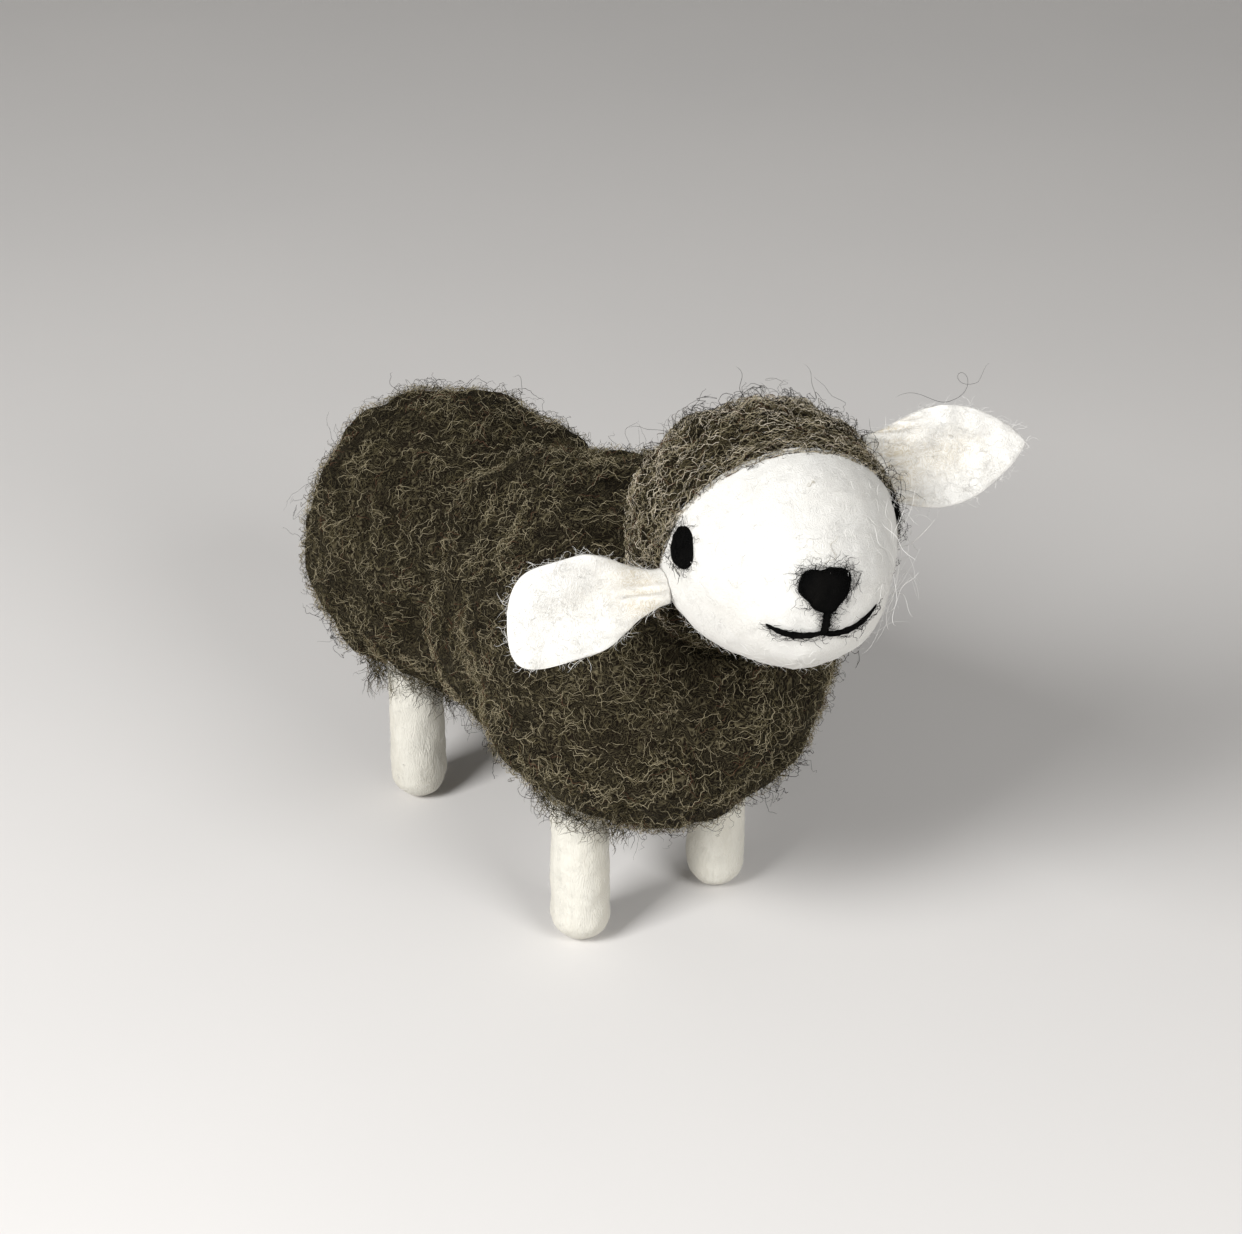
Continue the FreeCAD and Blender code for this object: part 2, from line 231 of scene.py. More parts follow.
@dataclass(frozen=True)
class Lobes:
    """Two balls joined by a hollow waist that is tangent to both, round about their common axis.

    In the half plane of (distance along the axis, distance from it), the outline is an arc about each
    ball's centre and, between them, an arc about a point outside the body.
    """

    near: Array
    near_radius: float
    far: Array
    far_radius: float
    waist_radius: float

    def offset(self, points: Array) -> tuple[Array, Array]:
        """How far each point is outside the surface, and the direction straight away from it."""
        span = float(np.linalg.norm(self.far - self.near))
        axis = (self.far - self.near) / span
        reach_near = self.near_radius + self.waist_radius
        reach_far = self.far_radius + self.waist_radius
        hub_along = (span ** 2 + reach_near ** 2 - reach_far ** 2) / (2 * span)
        hub_out = math.sqrt(reach_near ** 2 - hub_along ** 2)
        along = (points - self.near) @ axis
        radial = points - self.near - along[..., None] * axis
        out = np.linalg.norm(radial, axis=-1)
        in_near = along * hub_out < out * hub_along
        in_far = (along - span) * hub_out > out * (hub_along - span)
        ball = [in_near, in_far]
        centre = np.select(ball, [0.0, span], hub_along)
        centre_out = np.select(ball, [0.0, 0.0], hub_out)
        radius = np.select(ball, [self.near_radius, self.far_radius], self.waist_radius)
        side = np.select(ball, [1.0, 1.0], -1.0)
        gap = np.hypot(along - centre, out - centre_out)
        distance = side * (gap - radius)
        normal = ((along - centre) * side)[..., None] * axis
        normal = normal + ((out - centre_out) * side)[..., None] * unit(radial)
        return distance, unit(normal)

    def snap(self, points: Array, height: Array) -> tuple[Array, Array]:
        """Points moved straight to a height over the surface, and the normals there."""
        distance, normal = self.offset(points)
        return points + (height - distance)[..., None] * normal, normal

    def skin(self, rows: int, columns: int, relief: Callable[[Array], Array]) -> Skin:
        """The surface as a grid: an ellipse turned about the axis, each point snapped to the lobes.

        Args:
            rows: points from pole to pole.
            columns: points round the axis.
            relief: gives the height over the smooth lobes at each point.

        Returns:
            The closed skin.
        """
        middle = (self.near + self.far) / 2
        axis = unit(self.far - self.near)
        across = unit(np.cross(axis, UP) + 1e-9)
        half_width = max(self.near_radius, self.far_radius)
        half_length = float(np.linalg.norm(self.far - self.near)) / 2 + half_width
        tilt = np.linspace(0, math.pi, rows)[:, None, None]
        spoke = around(turn_angles(columns)[None, :, None], across, np.cross(axis, across))
        shell = middle - np.cos(tilt) * half_length * axis + np.sin(tilt) * half_width * spoke
        smooth, _ = self.snap(shell, np.zeros(shell.shape[:2]))
        raised, _ = self.snap(smooth, relief(smooth))
        return Skin(raised)


# ---------------------------------------------------------------- wool fibres

@dataclass(frozen=True)
class Curl:
    """How one kind of wool fibre lies.

    Attributes:
        length: along the fibre, in metres.
        crimp: the length of one wave, in metres.
        crimp_bend: how far a wave swings the fibre's heading, in radians.
        crimp_lift: how far a wave lifts the fibre off the surface.
        wander: how far the slow curve swings it, in radians.
        low: the lowest height over the surface.
        high: the highest height over the surface.
        rise: how far a free end lifts, beyond that.
        thickness: the fibre's radius.
        steps: points along the fibre.
    """

    length: float
    crimp: float = 1.5 * MM
    crimp_bend: float = 0.55
    crimp_lift: float = 0.08 * MM
    wander: float = 0.8
    low: float = -0.2 * MM
    high: float = 0.8 * MM
    rise: float = 0.0
    thickness: float = 0.05 * MM
    steps: int = 14

    def paths(self, rng: np.random.Generator, roots: Array, normals: Array, comb: Array,
              snap: Optional[Snap] = None) -> tuple[Array, Array]:
        """Centrelines: each walks over the surface with a heading that is a slow curve plus a wave.

        Args:
            rng: the seeded source of chance.
            roots: where the fibres start.
            normals: the surface's normal at each root.
            comb: the way each fibre sets out.
            snap: moves points to a height over the surface. Without it the surface is taken as flat.

        Returns:
            Points (fibres, steps, 3) and the side direction at each.
        """
        count = len(roots)
        s = np.linspace(0, 1, self.steps)[None, :]
        length = self.length * rng.uniform(0.6, 1.3, (count, 1))
        phase, slow_phase, lift_phase = rng.uniform(0, TURN, (3, count, 1))
        bend = self.crimp_bend * rng.uniform(0.4, 1.3, (count, 1))
        slow = self.wander * rng.normal(size=(count, 1))
        waves = length / self.crimp * rng.uniform(0.75, 1.3, (count, 1))
        heading = bend * np.sin(TURN * waves * s + phase)
        heading = heading + slow * (np.sin(math.pi * s * rng.uniform(0.5, 1.6, (count, 1)) + slow_phase)
                                    - np.sin(slow_phase))
        along = unit(comb - dot(comb, normals) * normals)
        move = around(heading[..., None], along[:, None], np.cross(normals, along)[:, None])
        move = move * (length / (self.steps - 1))[..., None]
        walk = roots[:, None] + np.cumsum(move, axis=1) - move[:, :1]
        lift = 0.5 + 0.5 * np.sin(TURN * s * rng.uniform(0.5, 1.4, (count, 1)) + lift_phase)
        height = self.low + (self.high - self.low) * lift
        height = height + self.crimp_lift * np.cos(TURN * waves * s + phase)
        height = height + self.rise * rng.random((count, 1)) * s ** 1.5
        if snap is None:
            sides = np.repeat(normals[:, None], self.steps, 1)
            return walk + height[..., None] * sides, sides
        return snap(walk, height)


def fibre_piece(name: str, paths: Array, sides: Array, thickness: float,
                rng: np.random.Generator) -> bpy.types.Object:
    """Sweeps a thin three-sided profile along every path, drawn to a point at both ends.

    A ring is the path's point plus the radius times three directions a third of a turn apart, and the
    radius falls as sine to the power of the taper.

    Args:
        name: the piece's name.
        paths: centrelines, (fibres, steps, 3).
        sides: a direction at each point that isn't along the fibre.
        thickness: the middle fibre's radius.
        rng: the seeded source of chance.

    Returns:
        One mesh object that holds all the fibres.
    """
    corners, taper_power = 3, 0.35
    count, steps, _ = paths.shape
    tangent = unit(np.gradient(paths, axis=1))
    first = unit(sides - dot(sides, tangent) * tangent)
    second = np.cross(tangent, first)
    taper = np.sin(np.linspace(0, math.pi, steps)) ** taper_power
    radius = thickness * rng.uniform(0.6, 1.35, (count, 1)) * taper
    ring = around(turn_angles(corners)[None, None, :, None], first[:, :, None], second[:, :, None])
    ring = (paths[:, :, None] + radius[..., None, None] * ring)[:, 1:-1].reshape(count, -1, 3)
    vertices = np.concatenate([paths[:, :1], ring, paths[:, -1:]], axis=1)
    stride = vertices.shape[1]
    number = 1 + np.arange((steps - 2) * corners).reshape(steps - 2, corners)
    after = np.roll(number, -1, axis=1)
    quads = np.stack([number[:-1], after[:-1], after[1:], number[1:]], -1).reshape(-1, 4)
    root_fan = np.stack([np.zeros(corners, int), after[0], number[0]], -1)
    tip_fan = np.stack([number[-1], after[-1], np.full(corners, stride - 1)], -1)
    base = (np.arange(count) * stride)[:, None, None]
    faces = [(quads + base).reshape(-1, 4), (np.concatenate([root_fan, tip_fan]) + base).reshape(-1, 3)]
    return mesh_object(name, vertices.reshape(-1, 3), faces)


# ---------------------------------------------------------------- shader graphs

Number = Union[float, "Signal"]


class Signal:
    """A shader socket's output. Arithmetic on it adds Math nodes to its graph."""

    def __init__(self, graph: "Graph", socket: bpy.types.NodeSocket) -> None:
        """Wraps one output socket."""
        self.graph = graph
        self.socket = socket

    def _math(self, operation: str, first: Number, second: Number) -> "Signal":
        """One Math node on two numbers."""
        return self.graph.add("ShaderNodeMath", {"operation": operation}, {0: first, 1: second})

    def __add__(self, other: Number) -> "Signal":
        """self + other."""
        return self._math("ADD", self, other)

    def __sub__(self, other: Number) -> "Signal":
        """self - other."""
        return self._math("SUBTRACT", self, other)

    def __rsub__(self, other: Number) -> "Signal":
        """other - self."""
        return self._math("SUBTRACT", other, self)

    def __mul__(self, other: Number) -> "Signal":
        """self * other."""
        return self._math("MULTIPLY", self, other)

    def __truediv__(self, other: Number) -> "Signal":
        """self / other."""
        return self._math("DIVIDE", self, other)

    def highest(self, other: Number) -> "Signal":
        """The larger of the two."""
        return self._math("MAXIMUM", self, other)

    def size(self) -> "Signal":
        """The value without its sign."""
        return self._math("ABSOLUTE", self, 0.0)

    def fraction(self) -> "Signal":
        """What is left over the last whole number."""
        return self._math("FRACT", self, 0.0)


@dataclass(frozen=True)
class Strands:
    """One layer of curly lines in a finish.

    Attributes:
        size: how wide the curls are, in metres.
        levels: how many lines cross the noise's whole range.
        width: the share of the gap between lines that a line fills.
        shift: moves the field, so that layers differ.
        twist: how far the noise is warped.
    """

    size: float
    levels: float
    width: float
    shift: float
    twist: float


class Graph:
    """A material's node tree, with one Principled shader that the finish fills in."""

    def __init__(self, name: str, grain: tuple[float, float, float] = (1.0, 1.0, 1.0)) -> None:
        """Makes the material and finds its shader. The grain stretches its patterns along each axis."""
        self.grain = grain
        self.material = bpy.data.materials.new(name)
        self.material.use_nodes = True
        self.nodes = self.material.node_tree.nodes
        self.links = self.material.node_tree.links
        self.shader = next(n for n in self.nodes if n.type == "BSDF_PRINCIPLED")

    def add(self, kind: str, settings: Optional[dict[str, Any]] = None,
            inputs: Optional[dict[Any, Any]] = None, output: Any = 0) -> Signal:
        """Adds a node.

        Args:
            kind: the node's type.
            settings: its own settings, which are set first.
            inputs: values or signals for its sockets, by name or number.
            output: which output to hand back.

        Returns:
            The output as a signal.
        """
        node = self.nodes.new(kind)
        for key, value in (settings or {}).items():
            setattr(node, key, value)
        for key, value in (inputs or {}).items():
            self._feed(node.inputs[key], value)
        return Signal(self, node.outputs[output])

    def _feed(self, socket: bpy.types.NodeSocket, value: Any) -> None:
        """Links a signal to a socket, or sets the socket's own value."""
        if isinstance(value, Signal):
            self.links.new(value.socket, socket)
        else:
            socket.default_value = value

    def set(self, **inputs: Any) -> None:
        """Fills in the shader's sockets, named with _ for a space."""
        for key, value in inputs.items():
            self._feed(self.shader.inputs[key.replace("_", " ")], value)

    def place(self, shift: tuple[float, float, float]) -> Signal:
        """Object coordinates times the grain, moved by a shift in metres so that layers differ."""
        coordinates = self.add("ShaderNodeTexCoord", output="Object")
        return self.add("ShaderNodeMapping", inputs={"Vector": coordinates, "Location": shift,
                                                     "Scale": self.grain})

    def noise(self, size: float, shift: float = 0.0, detail: float = 2.0, twist: float = 0.0) -> Signal:
        """Smooth noise whose features are about size metres across."""
        return self.add("ShaderNodeTexNoise", inputs={
            "Vector": self.place((shift, 2 * shift, -shift)), "Scale": 1 / size,
            "Detail": detail, "Roughness": 0.5, "Distortion": twist})

    def strands(self, layer: Strands) -> Signal:
        """Curly lines: the level curves of a noise field, which look like loose fibres.

        Args:
            layer: how the lines run.

        Returns:
            One on a line's middle, falling to zero at its edge.
        """
        steps = self.noise(layer.size, layer.shift, detail=1.0, twist=layer.twist) * layer.levels
        edge = (steps.fraction() - 0.5).size() / layer.width
        return (1.0 - edge).highest(0.0)

    def mix(self, share: Number, first: Any, second: Any) -> Signal:
        """A colour between two others."""
        return self.add("ShaderNodeMix", {"data_type": "RGBA", "clamp_factor": True},
                        {0: share, 6: first, 7: second}, output=2)

    def bump(self, height: Signal, depth: float, strength: float = 1.0) -> Signal:
        """A normal that tilts with a height of up to depth metres."""
        return self.add("ShaderNodeBump",
                        inputs={"Height": height, "Distance": depth, "Strength": strength})


def rgba(red: float, green: float, blue: float) -> tuple[float, float, float, float]:
    """An opaque colour."""
    return (red, green, blue, 1.0)


# ---------------------------------------------------------------- finishes

@dataclass(frozen=True)
class FleeceFinish:
    """Loose curly wool seen from outside: crossing strands of several tones over painted shade in the gaps under
    them.
    """

    name: str
    # gap and warm: painted shade that shows under the strands, near black and a dark warm brown
    gap: tuple[float, float, float, float] = rgba(0.003, 0.0025, 0.0015)
    strand: tuple[float, float, float, float] = rgba(0.052, 0.043, 0.024)
    pale: tuple[float, float, float, float] = rgba(0.17, 0.146, 0.088)
    warm: tuple[float, float, float, float] = rgba(0.014, 0.009, 0.006)
    wide: Strands = Strands(4.5 * MM, 26.0, 0.24, 0.011, twist=0.5)
    middle: Strands = Strands(3.6 * MM, 22.0, 0.22, 0.037, twist=0.9)
    fine: Strands = Strands(2.6 * MM, 15.0, 0.24, 0.071, twist=0.7)

    def material(self) -> bpy.types.Material:
        """Three layers of strand lines over painted shade that is mottled at random between near black and dark
        warm brown, with a bump from the same lines.
        """
        g = Graph(self.name)
        wide, middle, fine = (g.strands(layer) for layer in (self.wide, self.middle, self.fine))
        mottle = g.noise(9 * MM, 0.02, detail=3.0)
        # painted shade between the strands, mixed at random between near black and dark warm brown
        under = g.mix(g.noise(4 * MM, 0.05), self.gap, self.warm)
        body = g.mix(wide + middle, under, self.strand)
        colour = g.mix(fine * (mottle * 2.0 - 0.4), body, self.pale)
        height = wide.highest(middle).highest(fine) + mottle
        g.set(Base_Color=colour, Roughness=0.9, Normal=g.bump(height, 0.25 * MM),
              Specular_IOR_Level=0.05)
        return g.material


@dataclass(frozen=True)
class FibreFinish:
    """One tone of single wool fibre, whose pattern is its own crimped shape."""

    name: str
    colour: tuple[float, float, float, float]
    roughness: float = 0.7

    def material(self) -> bpy.types.Material:
        """An even tone, because a fibre is thinner than any grain on it."""
        g = Graph(self.name)
        g.set(Base_Color=self.colour, Roughness=self.roughness, Specular_IOR_Level=0.06)
        return g.material


@dataclass(frozen=True)
class FeltFinish:
    """Needled felt: matted fine strands, cloudy patches, and small pits where the needle went in.

    Attributes:
        name: the material's name.
        light: the felt's colour.
        shade: its colour in the clouds, the strands and the places with painted shade.
        stain: how strong the clouds are.
        sheen: the fuzz's soft glow.
        grain: how the pattern is stretched along each axis.
        relief: how strong the bump is.
        matted: the wider strands.
        finer: the narrower ones.
    """

    name: str
    light: tuple[float, float, float, float]
    shade: tuple[float, float, float, float]
    stain: float = 0.5
    sheen: float = 0.1
    grain: tuple[float, float, float] = (1.0, 1.0, 1.0)
    relief: float = 0.6
    matted: Strands = Strands(1.5 * MM, 9.0, 0.35, 0.031, twist=1.2)
    finer: Strands = Strands(0.8 * MM, 7.0, 0.35, 0.047, twist=0.8)

    def material(self) -> bpy.types.Material:
        """Clouded felt with a bump of strands and needle pits, darker where its piece carries painted shade."""
        g = Graph(self.name, self.grain)
        # painted shade stored on the piece, zero where it has none
        painted_shade = g.add("ShaderNodeAttribute", {"attribute_name": PAINTED_SHADE}, output="Fac")
        cloud = g.noise(7 * MM, 0.013, detail=3.0, twist=0.4)
        matted, finer = g.strands(self.matted), g.strands(self.finer)
        pits = g.noise(0.9 * MM, 0.061, detail=2.0)
        share = (cloud - 0.45) * 2.2 * self.stain + (matted + finer) * 0.10 + painted_shade * (matted + 0.5)
        colour = g.mix(share, self.light, self.shade)
        height = matted * 0.6 + finer * 0.5 + pits * 0.7 + cloud * 1.2
        g.set(Base_Color=colour, Roughness=0.95, Normal=g.bump(height, 0.08 * MM, self.relief),
              Sheen_Weight=self.sheen, Sheen_Roughness=0.5, Specular_IOR_Level=0.04)
        return g.material


@dataclass(frozen=True)
class WireFinish:
    """Drawn steel wire with fine lengthwise scratches."""

    name: str

    def material(self) -> bpy.types.Material:
        """Grey metal whose roughness varies a little."""
        g = Graph(self.name)
        g.set(Base_Color=rgba(0.5, 0.5, 0.52), Metallic=1.0, Roughness=g.noise(0.5 * MM) * 0.3 + 0.25)
        return g.material


@dataclass(frozen=True)
class PaperFinish:
    """The plain pale sweep that the figure stands on."""

    name: str

    def material(self) -> bpy.types.Material:
        """Near-white matt paper with faint clouds."""
        g = Graph(self.name)
        cloud = g.noise(0.12, 0.4, detail=3.0)
        g.set(Base_Color=g.mix(cloud, rgba(0.69, 0.675, 0.66), rgba(0.75, 0.73, 0.71)), Roughness=0.9,
              Specular_IOR_Level=0.1)
        return g.material


FLEECE = FleeceFinish("fleece_under")
BLACK_FELT = FeltFinish("felt_black", rgba(0.0015, 0.0015, 0.0015), rgba(0.009, 0.008, 0.007), 0.6, 0.0)


class Slot(Enum):
    """The record's material slots."""

    FLEECE = "curly_fleece"
    FELT = "white_felt"
    BLACK = "black_felt"
    CORE = "core_wool"
    WIRE = "armature_wire"


class Tone(Enum):
    """The tones of single fibres."""

    DARK = FibreFinish("fibre_dark", rgba(0.0055, 0.0044, 0.0026))
    EARTH = FibreFinish("fibre_earth", rgba(0.050, 0.041, 0.021))
    GREY = FibreFinish("fibre_grey", rgba(0.132, 0.111, 0.060))
    PALE = FibreFinish("fibre_pale", rgba(0.37, 0.32, 0.21))
    SILVER = FibreFinish("fibre_silver", rgba(0.64, 0.57, 0.45))
    RUST = FibreFinish("fibre_rust", rgba(0.11, 0.056, 0.034))
    WHITE = FibreFinish("fibre_white", rgba(0.80, 0.79, 0.76), 0.8)
    BLACK = FibreFinish("fibre_black", rgba(0.0025, 0.0025, 0.0025))


@dataclass
class Wardrobe:
    """Every finish made once, and the one way that a piece is dressed."""

    made: dict[Any, bpy.types.Material] = field(default_factory=dict)

    def wear(self, piece: bpy.types.Object, finish: Any, slot: Slot, body: str) -> bpy.types.Object:
        """Gives a piece its material and the body it rides on.

        Args:
            piece: the object to dress.
            finish: a finish, or a tone.
            slot: the record's slot; not used.
            body: the CAD body.

        Returns:
            The same piece.
        """
        source = finish.value if isinstance(finish, Tone) else finish
        if source not in self.made:
            self.made[source] = source.material()
        piece.data.materials.append(self.made[source])
        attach(piece, body)
        log.info("%s: %d faces, rides %s", piece.name, len(piece.data.polygons), body)
        return piece


# ---------------------------------------------------------------- fibre coats

@dataclass(frozen=True)
class Swirl:
    """A smooth comb for wool: three lump fields make a direction that turns slowly in space."""

    along_x: LumpField
    along_y: LumpField
    along_z: LumpField
    level: float = 0.6

    def at(self, roots: Array, normals: Array) -> Array:
        """The comb's direction at each root: the swirl, and a share of the level way round the body."""
        swirl = np.stack([f.at(roots) for f in (self.along_x, self.along_y, self.along_z)], -1)
        return swirl + self.level * np.cross(UP, normals)


@dataclass
class Coat:
    """A layer of fibres on one skin, in pieces of one tone each.

    Attributes:
        name: what the pieces' names start with.
        skin: the surface that the fibres start from.
        snap: keeps them at a height over the surface, or None where they are too short to leave it.
        body: the CAD body that they ride on.
        slot: the record's slot.
        keep: says which roots are used.
        comb: gives the way each fibre sets out, or None for any way.
        tangle: how far chance turns it from that way.
    """

    name: str
    skin: Skin
    snap: Optional[Snap]
    body: str
    slot: Slot
    keep: Optional[Callable[[Array], Array]] = None
    comb: Optional[Callable[[Array, Array], Array]] = None
    tangle: float = 0.4

    def grow(self, wardrobe: Wardrobe, tone: Tone, curl: Curl, count: int, seed: int) -> None:
        """Grows one piece.

        Args:
            wardrobe: dresses it.
            tone: the fibres' tone.
            curl: how they lie.
            count: how many roots are tried.
            seed: makes the piece the same each time, and ends its name.
        """
        rng = np.random.default_rng(seed)
        roots, normals = self.skin.scatter(count, rng)
        if self.keep is not None:
            used = self.keep(roots)
            roots, normals = roots[used], normals[used]
        comb = rng.normal(size=roots.shape)
        if self.comb is not None:
            comb = self.comb(roots, normals) + self.tangle * comb
        paths, sides = curl.paths(rng, roots, normals, comb, self.snap)
        name = f"{self.name}_{tone.name.lower()}_{seed}"
        piece = fibre_piece(name, paths, sides, curl.thickness, rng)
        wardrobe.wear(piece, tone, self.slot, self.body)


# ---------------------------------------------------------------- the sheep

@dataclass
class Torso:
    """The fleece over the chest and rump, with its soft lumps, crease and dish for the head.

    Attributes:
        neck: the pivot under the head, which is the dish's centre.
        hips: the four legs' pivots.
        waist_curve: the radius of the hollow between the chest and the rump.
        sunk: how far the skin lies under the smooth lobes.
        dish_radius: of the ball that the head's fleece turns in.
        head_reach: how near the pivot the collar's fibres may come.
        crease_place: the crease's place, as a share of the way from the rump to the chest.
        crease_width: its width, as a share of the same way.
        fibres: what the coats' counts are shares of.
    """

    wardrobe: Wardrobe
    neck: Array
    hips: list[Array]
    chest_radius: float = 25.3 * MM
    rump_radius: float = 22.4 * MM
    waist_curve: float = 95 * MM
    lump_height: float = 0.5 * MM
    sunk: float = 0.3 * MM
    dish_radius: float = 18.2 * MM
    head_reach: float = 16.6 * MM
    crease_depth: float = 1.3 * MM
    crease_place: float = 0.42
    crease_width: float = 0.09
    fibres: int = 2600

    def __post_init__(self) -> None:
        """Finds the lobes in the CAD fleece's box: each lobe touches the box's walls."""
        low, high = node_box("body_fleece")
        middle = (low[0] + high[0]) / 2
        self.chest = np.array([middle, low[1] + self.chest_radius, high[2] - self.chest_radius])
        self.rump = np.array([middle, high[1] - self.rump_radius, low[2] + self.rump_radius])
        self.lobes = Lobes(self.rump, self.rump_radius, self.chest, self.chest_radius, self.waist_curve)
        self.big_lumps = LumpField(5, 13 * MM)
        self.small_lumps = LumpField(6, 4.2 * MM)

    def relief(self, points: Array) -> Array:
        """The fleece's own height: two sizes of lump, less a soft crease round the waist."""
        along = self.share_of_spine(points) - self.crease_place
        crease = np.exp(-(along / self.crease_width) ** 2) * self.crease_depth
        lumps = self.big_lumps.at(points) + 0.5 * self.small_lumps.at(points)
        return lumps * self.lump_height - crease - self.sunk

    def share_of_spine(self, points: Array) -> Array:
        """How far along the body points are: zero at the rump's centre and one at the chest's."""
        spine = self.chest - self.rump
        return (points - self.rump) @ spine / (spine @ spine)

    def snap(self, points: Array, height: Array) -> tuple[Array, Array]:
        """Points at a height over the lumpy fleece, and never inside the head's dish."""
        smooth, _ = self.lobes.snap(points, np.zeros(points.shape[:-1]))
        raised, normal = self.lobes.snap(points, height + self.relief(smooth))
        return self.clear_of_head(raised, self.dish_radius), normal

    def lean_on_head(self, points: Array, height: Array) -> tuple[Array, Array]:
        """Points at a height over the fleece that may reach across the dish's rim as far as the head."""
        raised, normal = self.lobes.snap(points, height)
        return self.clear_of_head(raised, self.head_reach), normal

    def clear_of_head(self, points: Array, radius: float) -> Array:
        """Points inside a ball about the neck are moved straight out to it."""
        away = points - self.neck
        gap = np.linalg.norm(away, axis=-1, keepdims=True)
        return np.where(gap < radius, self.neck + unit(away) * radius, points)

    def build(self) -> None:
        """Makes the fleece's skin and everything that grows from it."""
        rows, columns = 190, 200
        skin = self.lobes.skin(rows, columns, self.relief)
        skin.grid = self.clear_of_head(skin.grid, self.dish_radius)
        base = self.wardrobe.wear(skin.piece("fleece_body"), FLEECE, Slot.FLEECE, "torso")
        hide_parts("body_fleece")
        self.coats(skin)
        self.collar(skin)
        self.fringe_legs()

    def outside(self, roots: Array) -> Array:
        """Roots that the head doesn't sit on."""
        return np.linalg.norm(roots - self.neck, axis=-1) > self.dish_radius + 0.6 * MM

    def coats(self, skin: Skin) -> None:
        """The lying, loose and stray fibres, from the darkest wool up to the palest."""
        swirl = Swirl(LumpField(201, 14 * MM), LumpField(202, 14 * MM), LumpField(203, 14 * MM))
        patches = LumpField(204, 7 * MM)

        def pale_patch_and_highlight(roots: Array) -> Array:
            """Roots in the paler half of the fleece and, as a painted highlight, on the tops of its lumps, with
            more of them on the chest.
            """
            share = np.clip(self.share_of_spine(roots), 0, 1)
            # random patches of paler wool, plus paler fibres on the raised small lumps as a painted highlight
            paleness = patches.at(roots) + self.small_lumps.at(roots)
            return self.outside(roots) & (paleness > 0.1 - 0.45 * share)

        coat = Coat("fleece_body", skin, self.snap, "torso", Slot.FLEECE, self.outside, swirl.at)
        patches_and_highlights = Coat("fleece_body", skin, self.snap, "torso", Slot.FLEECE, pale_patch_and_highlight, swirl.at)
        lying = Curl(4.2 * MM, crimp=1.4 * MM, crimp_lift=0.2 * MM, low=-0.15 * MM, high=0.7 * MM,
                     thickness=0.035 * MM, steps=12)
        fine = Curl(4.2 * MM, crimp=1.4 * MM, crimp_lift=0.2 * MM, low=0.0, high=0.9 * MM,
                    thickness=0.032 * MM, steps=12)
        loose = Curl(6.5 * MM, crimp=1.5 * MM, crimp_bend=1.3, wander=2.2, low=-0.3 * MM, high=1.8 * MM,
                     thickness=0.032 * MM, steps=18)
        stray = Curl(9 * MM, crimp=1.9 * MM, crimp_bend=1.4, wander=2.6, low=-0.2 * MM, high=1.6 * MM,
                     rise=3.2 * MM, thickness=0.030 * MM, steps=24)
        fuzz = Curl(3.6 * MM, crimp=1.5 * MM, crimp_bend=1.2, wander=2.0, low=0.0, high=0.9 * MM,
                    rise=1.3 * MM, thickness=0.028 * MM, steps=10)
        count = self.fibres
        for layer, tone, curl, tried, seed in (
                (coat, Tone.DARK, lying, count // 3, 14),
                (coat, Tone.EARTH, lying, count // 2, 13),
                (coat, Tone.GREY, lying, count, 16),
                (patches_and_highlights, Tone.GREY, lying, count * 4 // 3, 15),
                (patches_and_highlights, Tone.PALE, fine, count * 2, 17),
                (coat, Tone.PALE, fine, count // 2, 12),
                (coat, Tone.RUST, lying, count // 4, 18),
                (coat, Tone.DARK, loose, 700, 19),
                (coat, Tone.EARTH, loose, 600, 20),
                (coat, Tone.DARK, stray, 380, 21),
                (coat, Tone.DARK, fuzz, 900, 26),
                (coat, Tone.EARTH, fuzz, 800, 27)):
            layer.grow(self.wardrobe, tone, curl, tried, seed)

    def collar(self, skin: Skin) -> None:
        """Wisps round the dish's rim that lean on to the head's fleece, so that no gap shows."""
        def rim(roots: Array) -> Array:
            """Roots beside the dish."""
            gap = np.linalg.norm(roots - self.neck, axis=-1) - self.dish_radius
            return (gap > -0.05 * MM) & (gap < 2.2 * MM)

        def to_head(roots: Array, normals: Array) -> Array:
            """Towards the head, and round it."""
            inward = unit(self.neck - roots)
            return inward + 0.6 * np.cross(inward, normals)

        coat = Coat("fleece_collar", skin, self.lean_on_head, "torso", Slot.FLEECE, rim, to_head, 0.5)
        wisp = Curl(5.0 * MM, low=-0.2 * MM, high=1.2 * MM, thickness=0.035 * MM, steps=13)
        tried = 2500
        for tone, seed in ((Tone.DARK, 22), (Tone.EARTH, 23), (Tone.GREY, 24), (Tone.PALE, 25)):
            coat.grow(self.wardrobe, tone, wisp, tried, seed)

    def fringe_legs(self) -> None:
        """Wisps in three tones that hang from the fleece round the top of each leg."""
        wisp = Curl(5.5 * MM, crimp=2.0 * MM, crimp_bend=0.9, wander=1.1, low=-0.1 * MM, high=0.9 * MM,
                    thickness=0.036 * MM, steps=12)
        per_leg = 120
        nearest, farthest, depth = 4.8, 7.6, 4 * MM
        below = np.array(self.hips)[:, None] - depth * UP
        for tone, seed in ((Tone.DARK, 31), (Tone.EARTH, 32), (Tone.GREY, 33)):
            rng = np.random.default_rng(seed)
            angle = rng.uniform(0, TURN, (len(self.hips), per_leg, 1))
            spoke = around(angle, LEFT, BACK)
            reach = rng.uniform(nearest, farthest, angle.shape) * MM
            roots, _ = self.lobes.snap(below + spoke * reach, np.full(angle.shape[:2], -self.sunk))
            roots, spoke = roots.reshape(-1, 3), spoke.reshape(-1, 3)
            down = 0.5 * rng.normal(size=roots.shape) - UP
            paths, sides = wisp.paths(rng, roots, spoke, down)
            name = f"fleece_leg_fringe_{tone.name.lower()}"
            piece = fibre_piece(name, paths, sides, wisp.thickness, rng)
            self.wardrobe.wear(piece, tone, Slot.FLEECE, "torso")


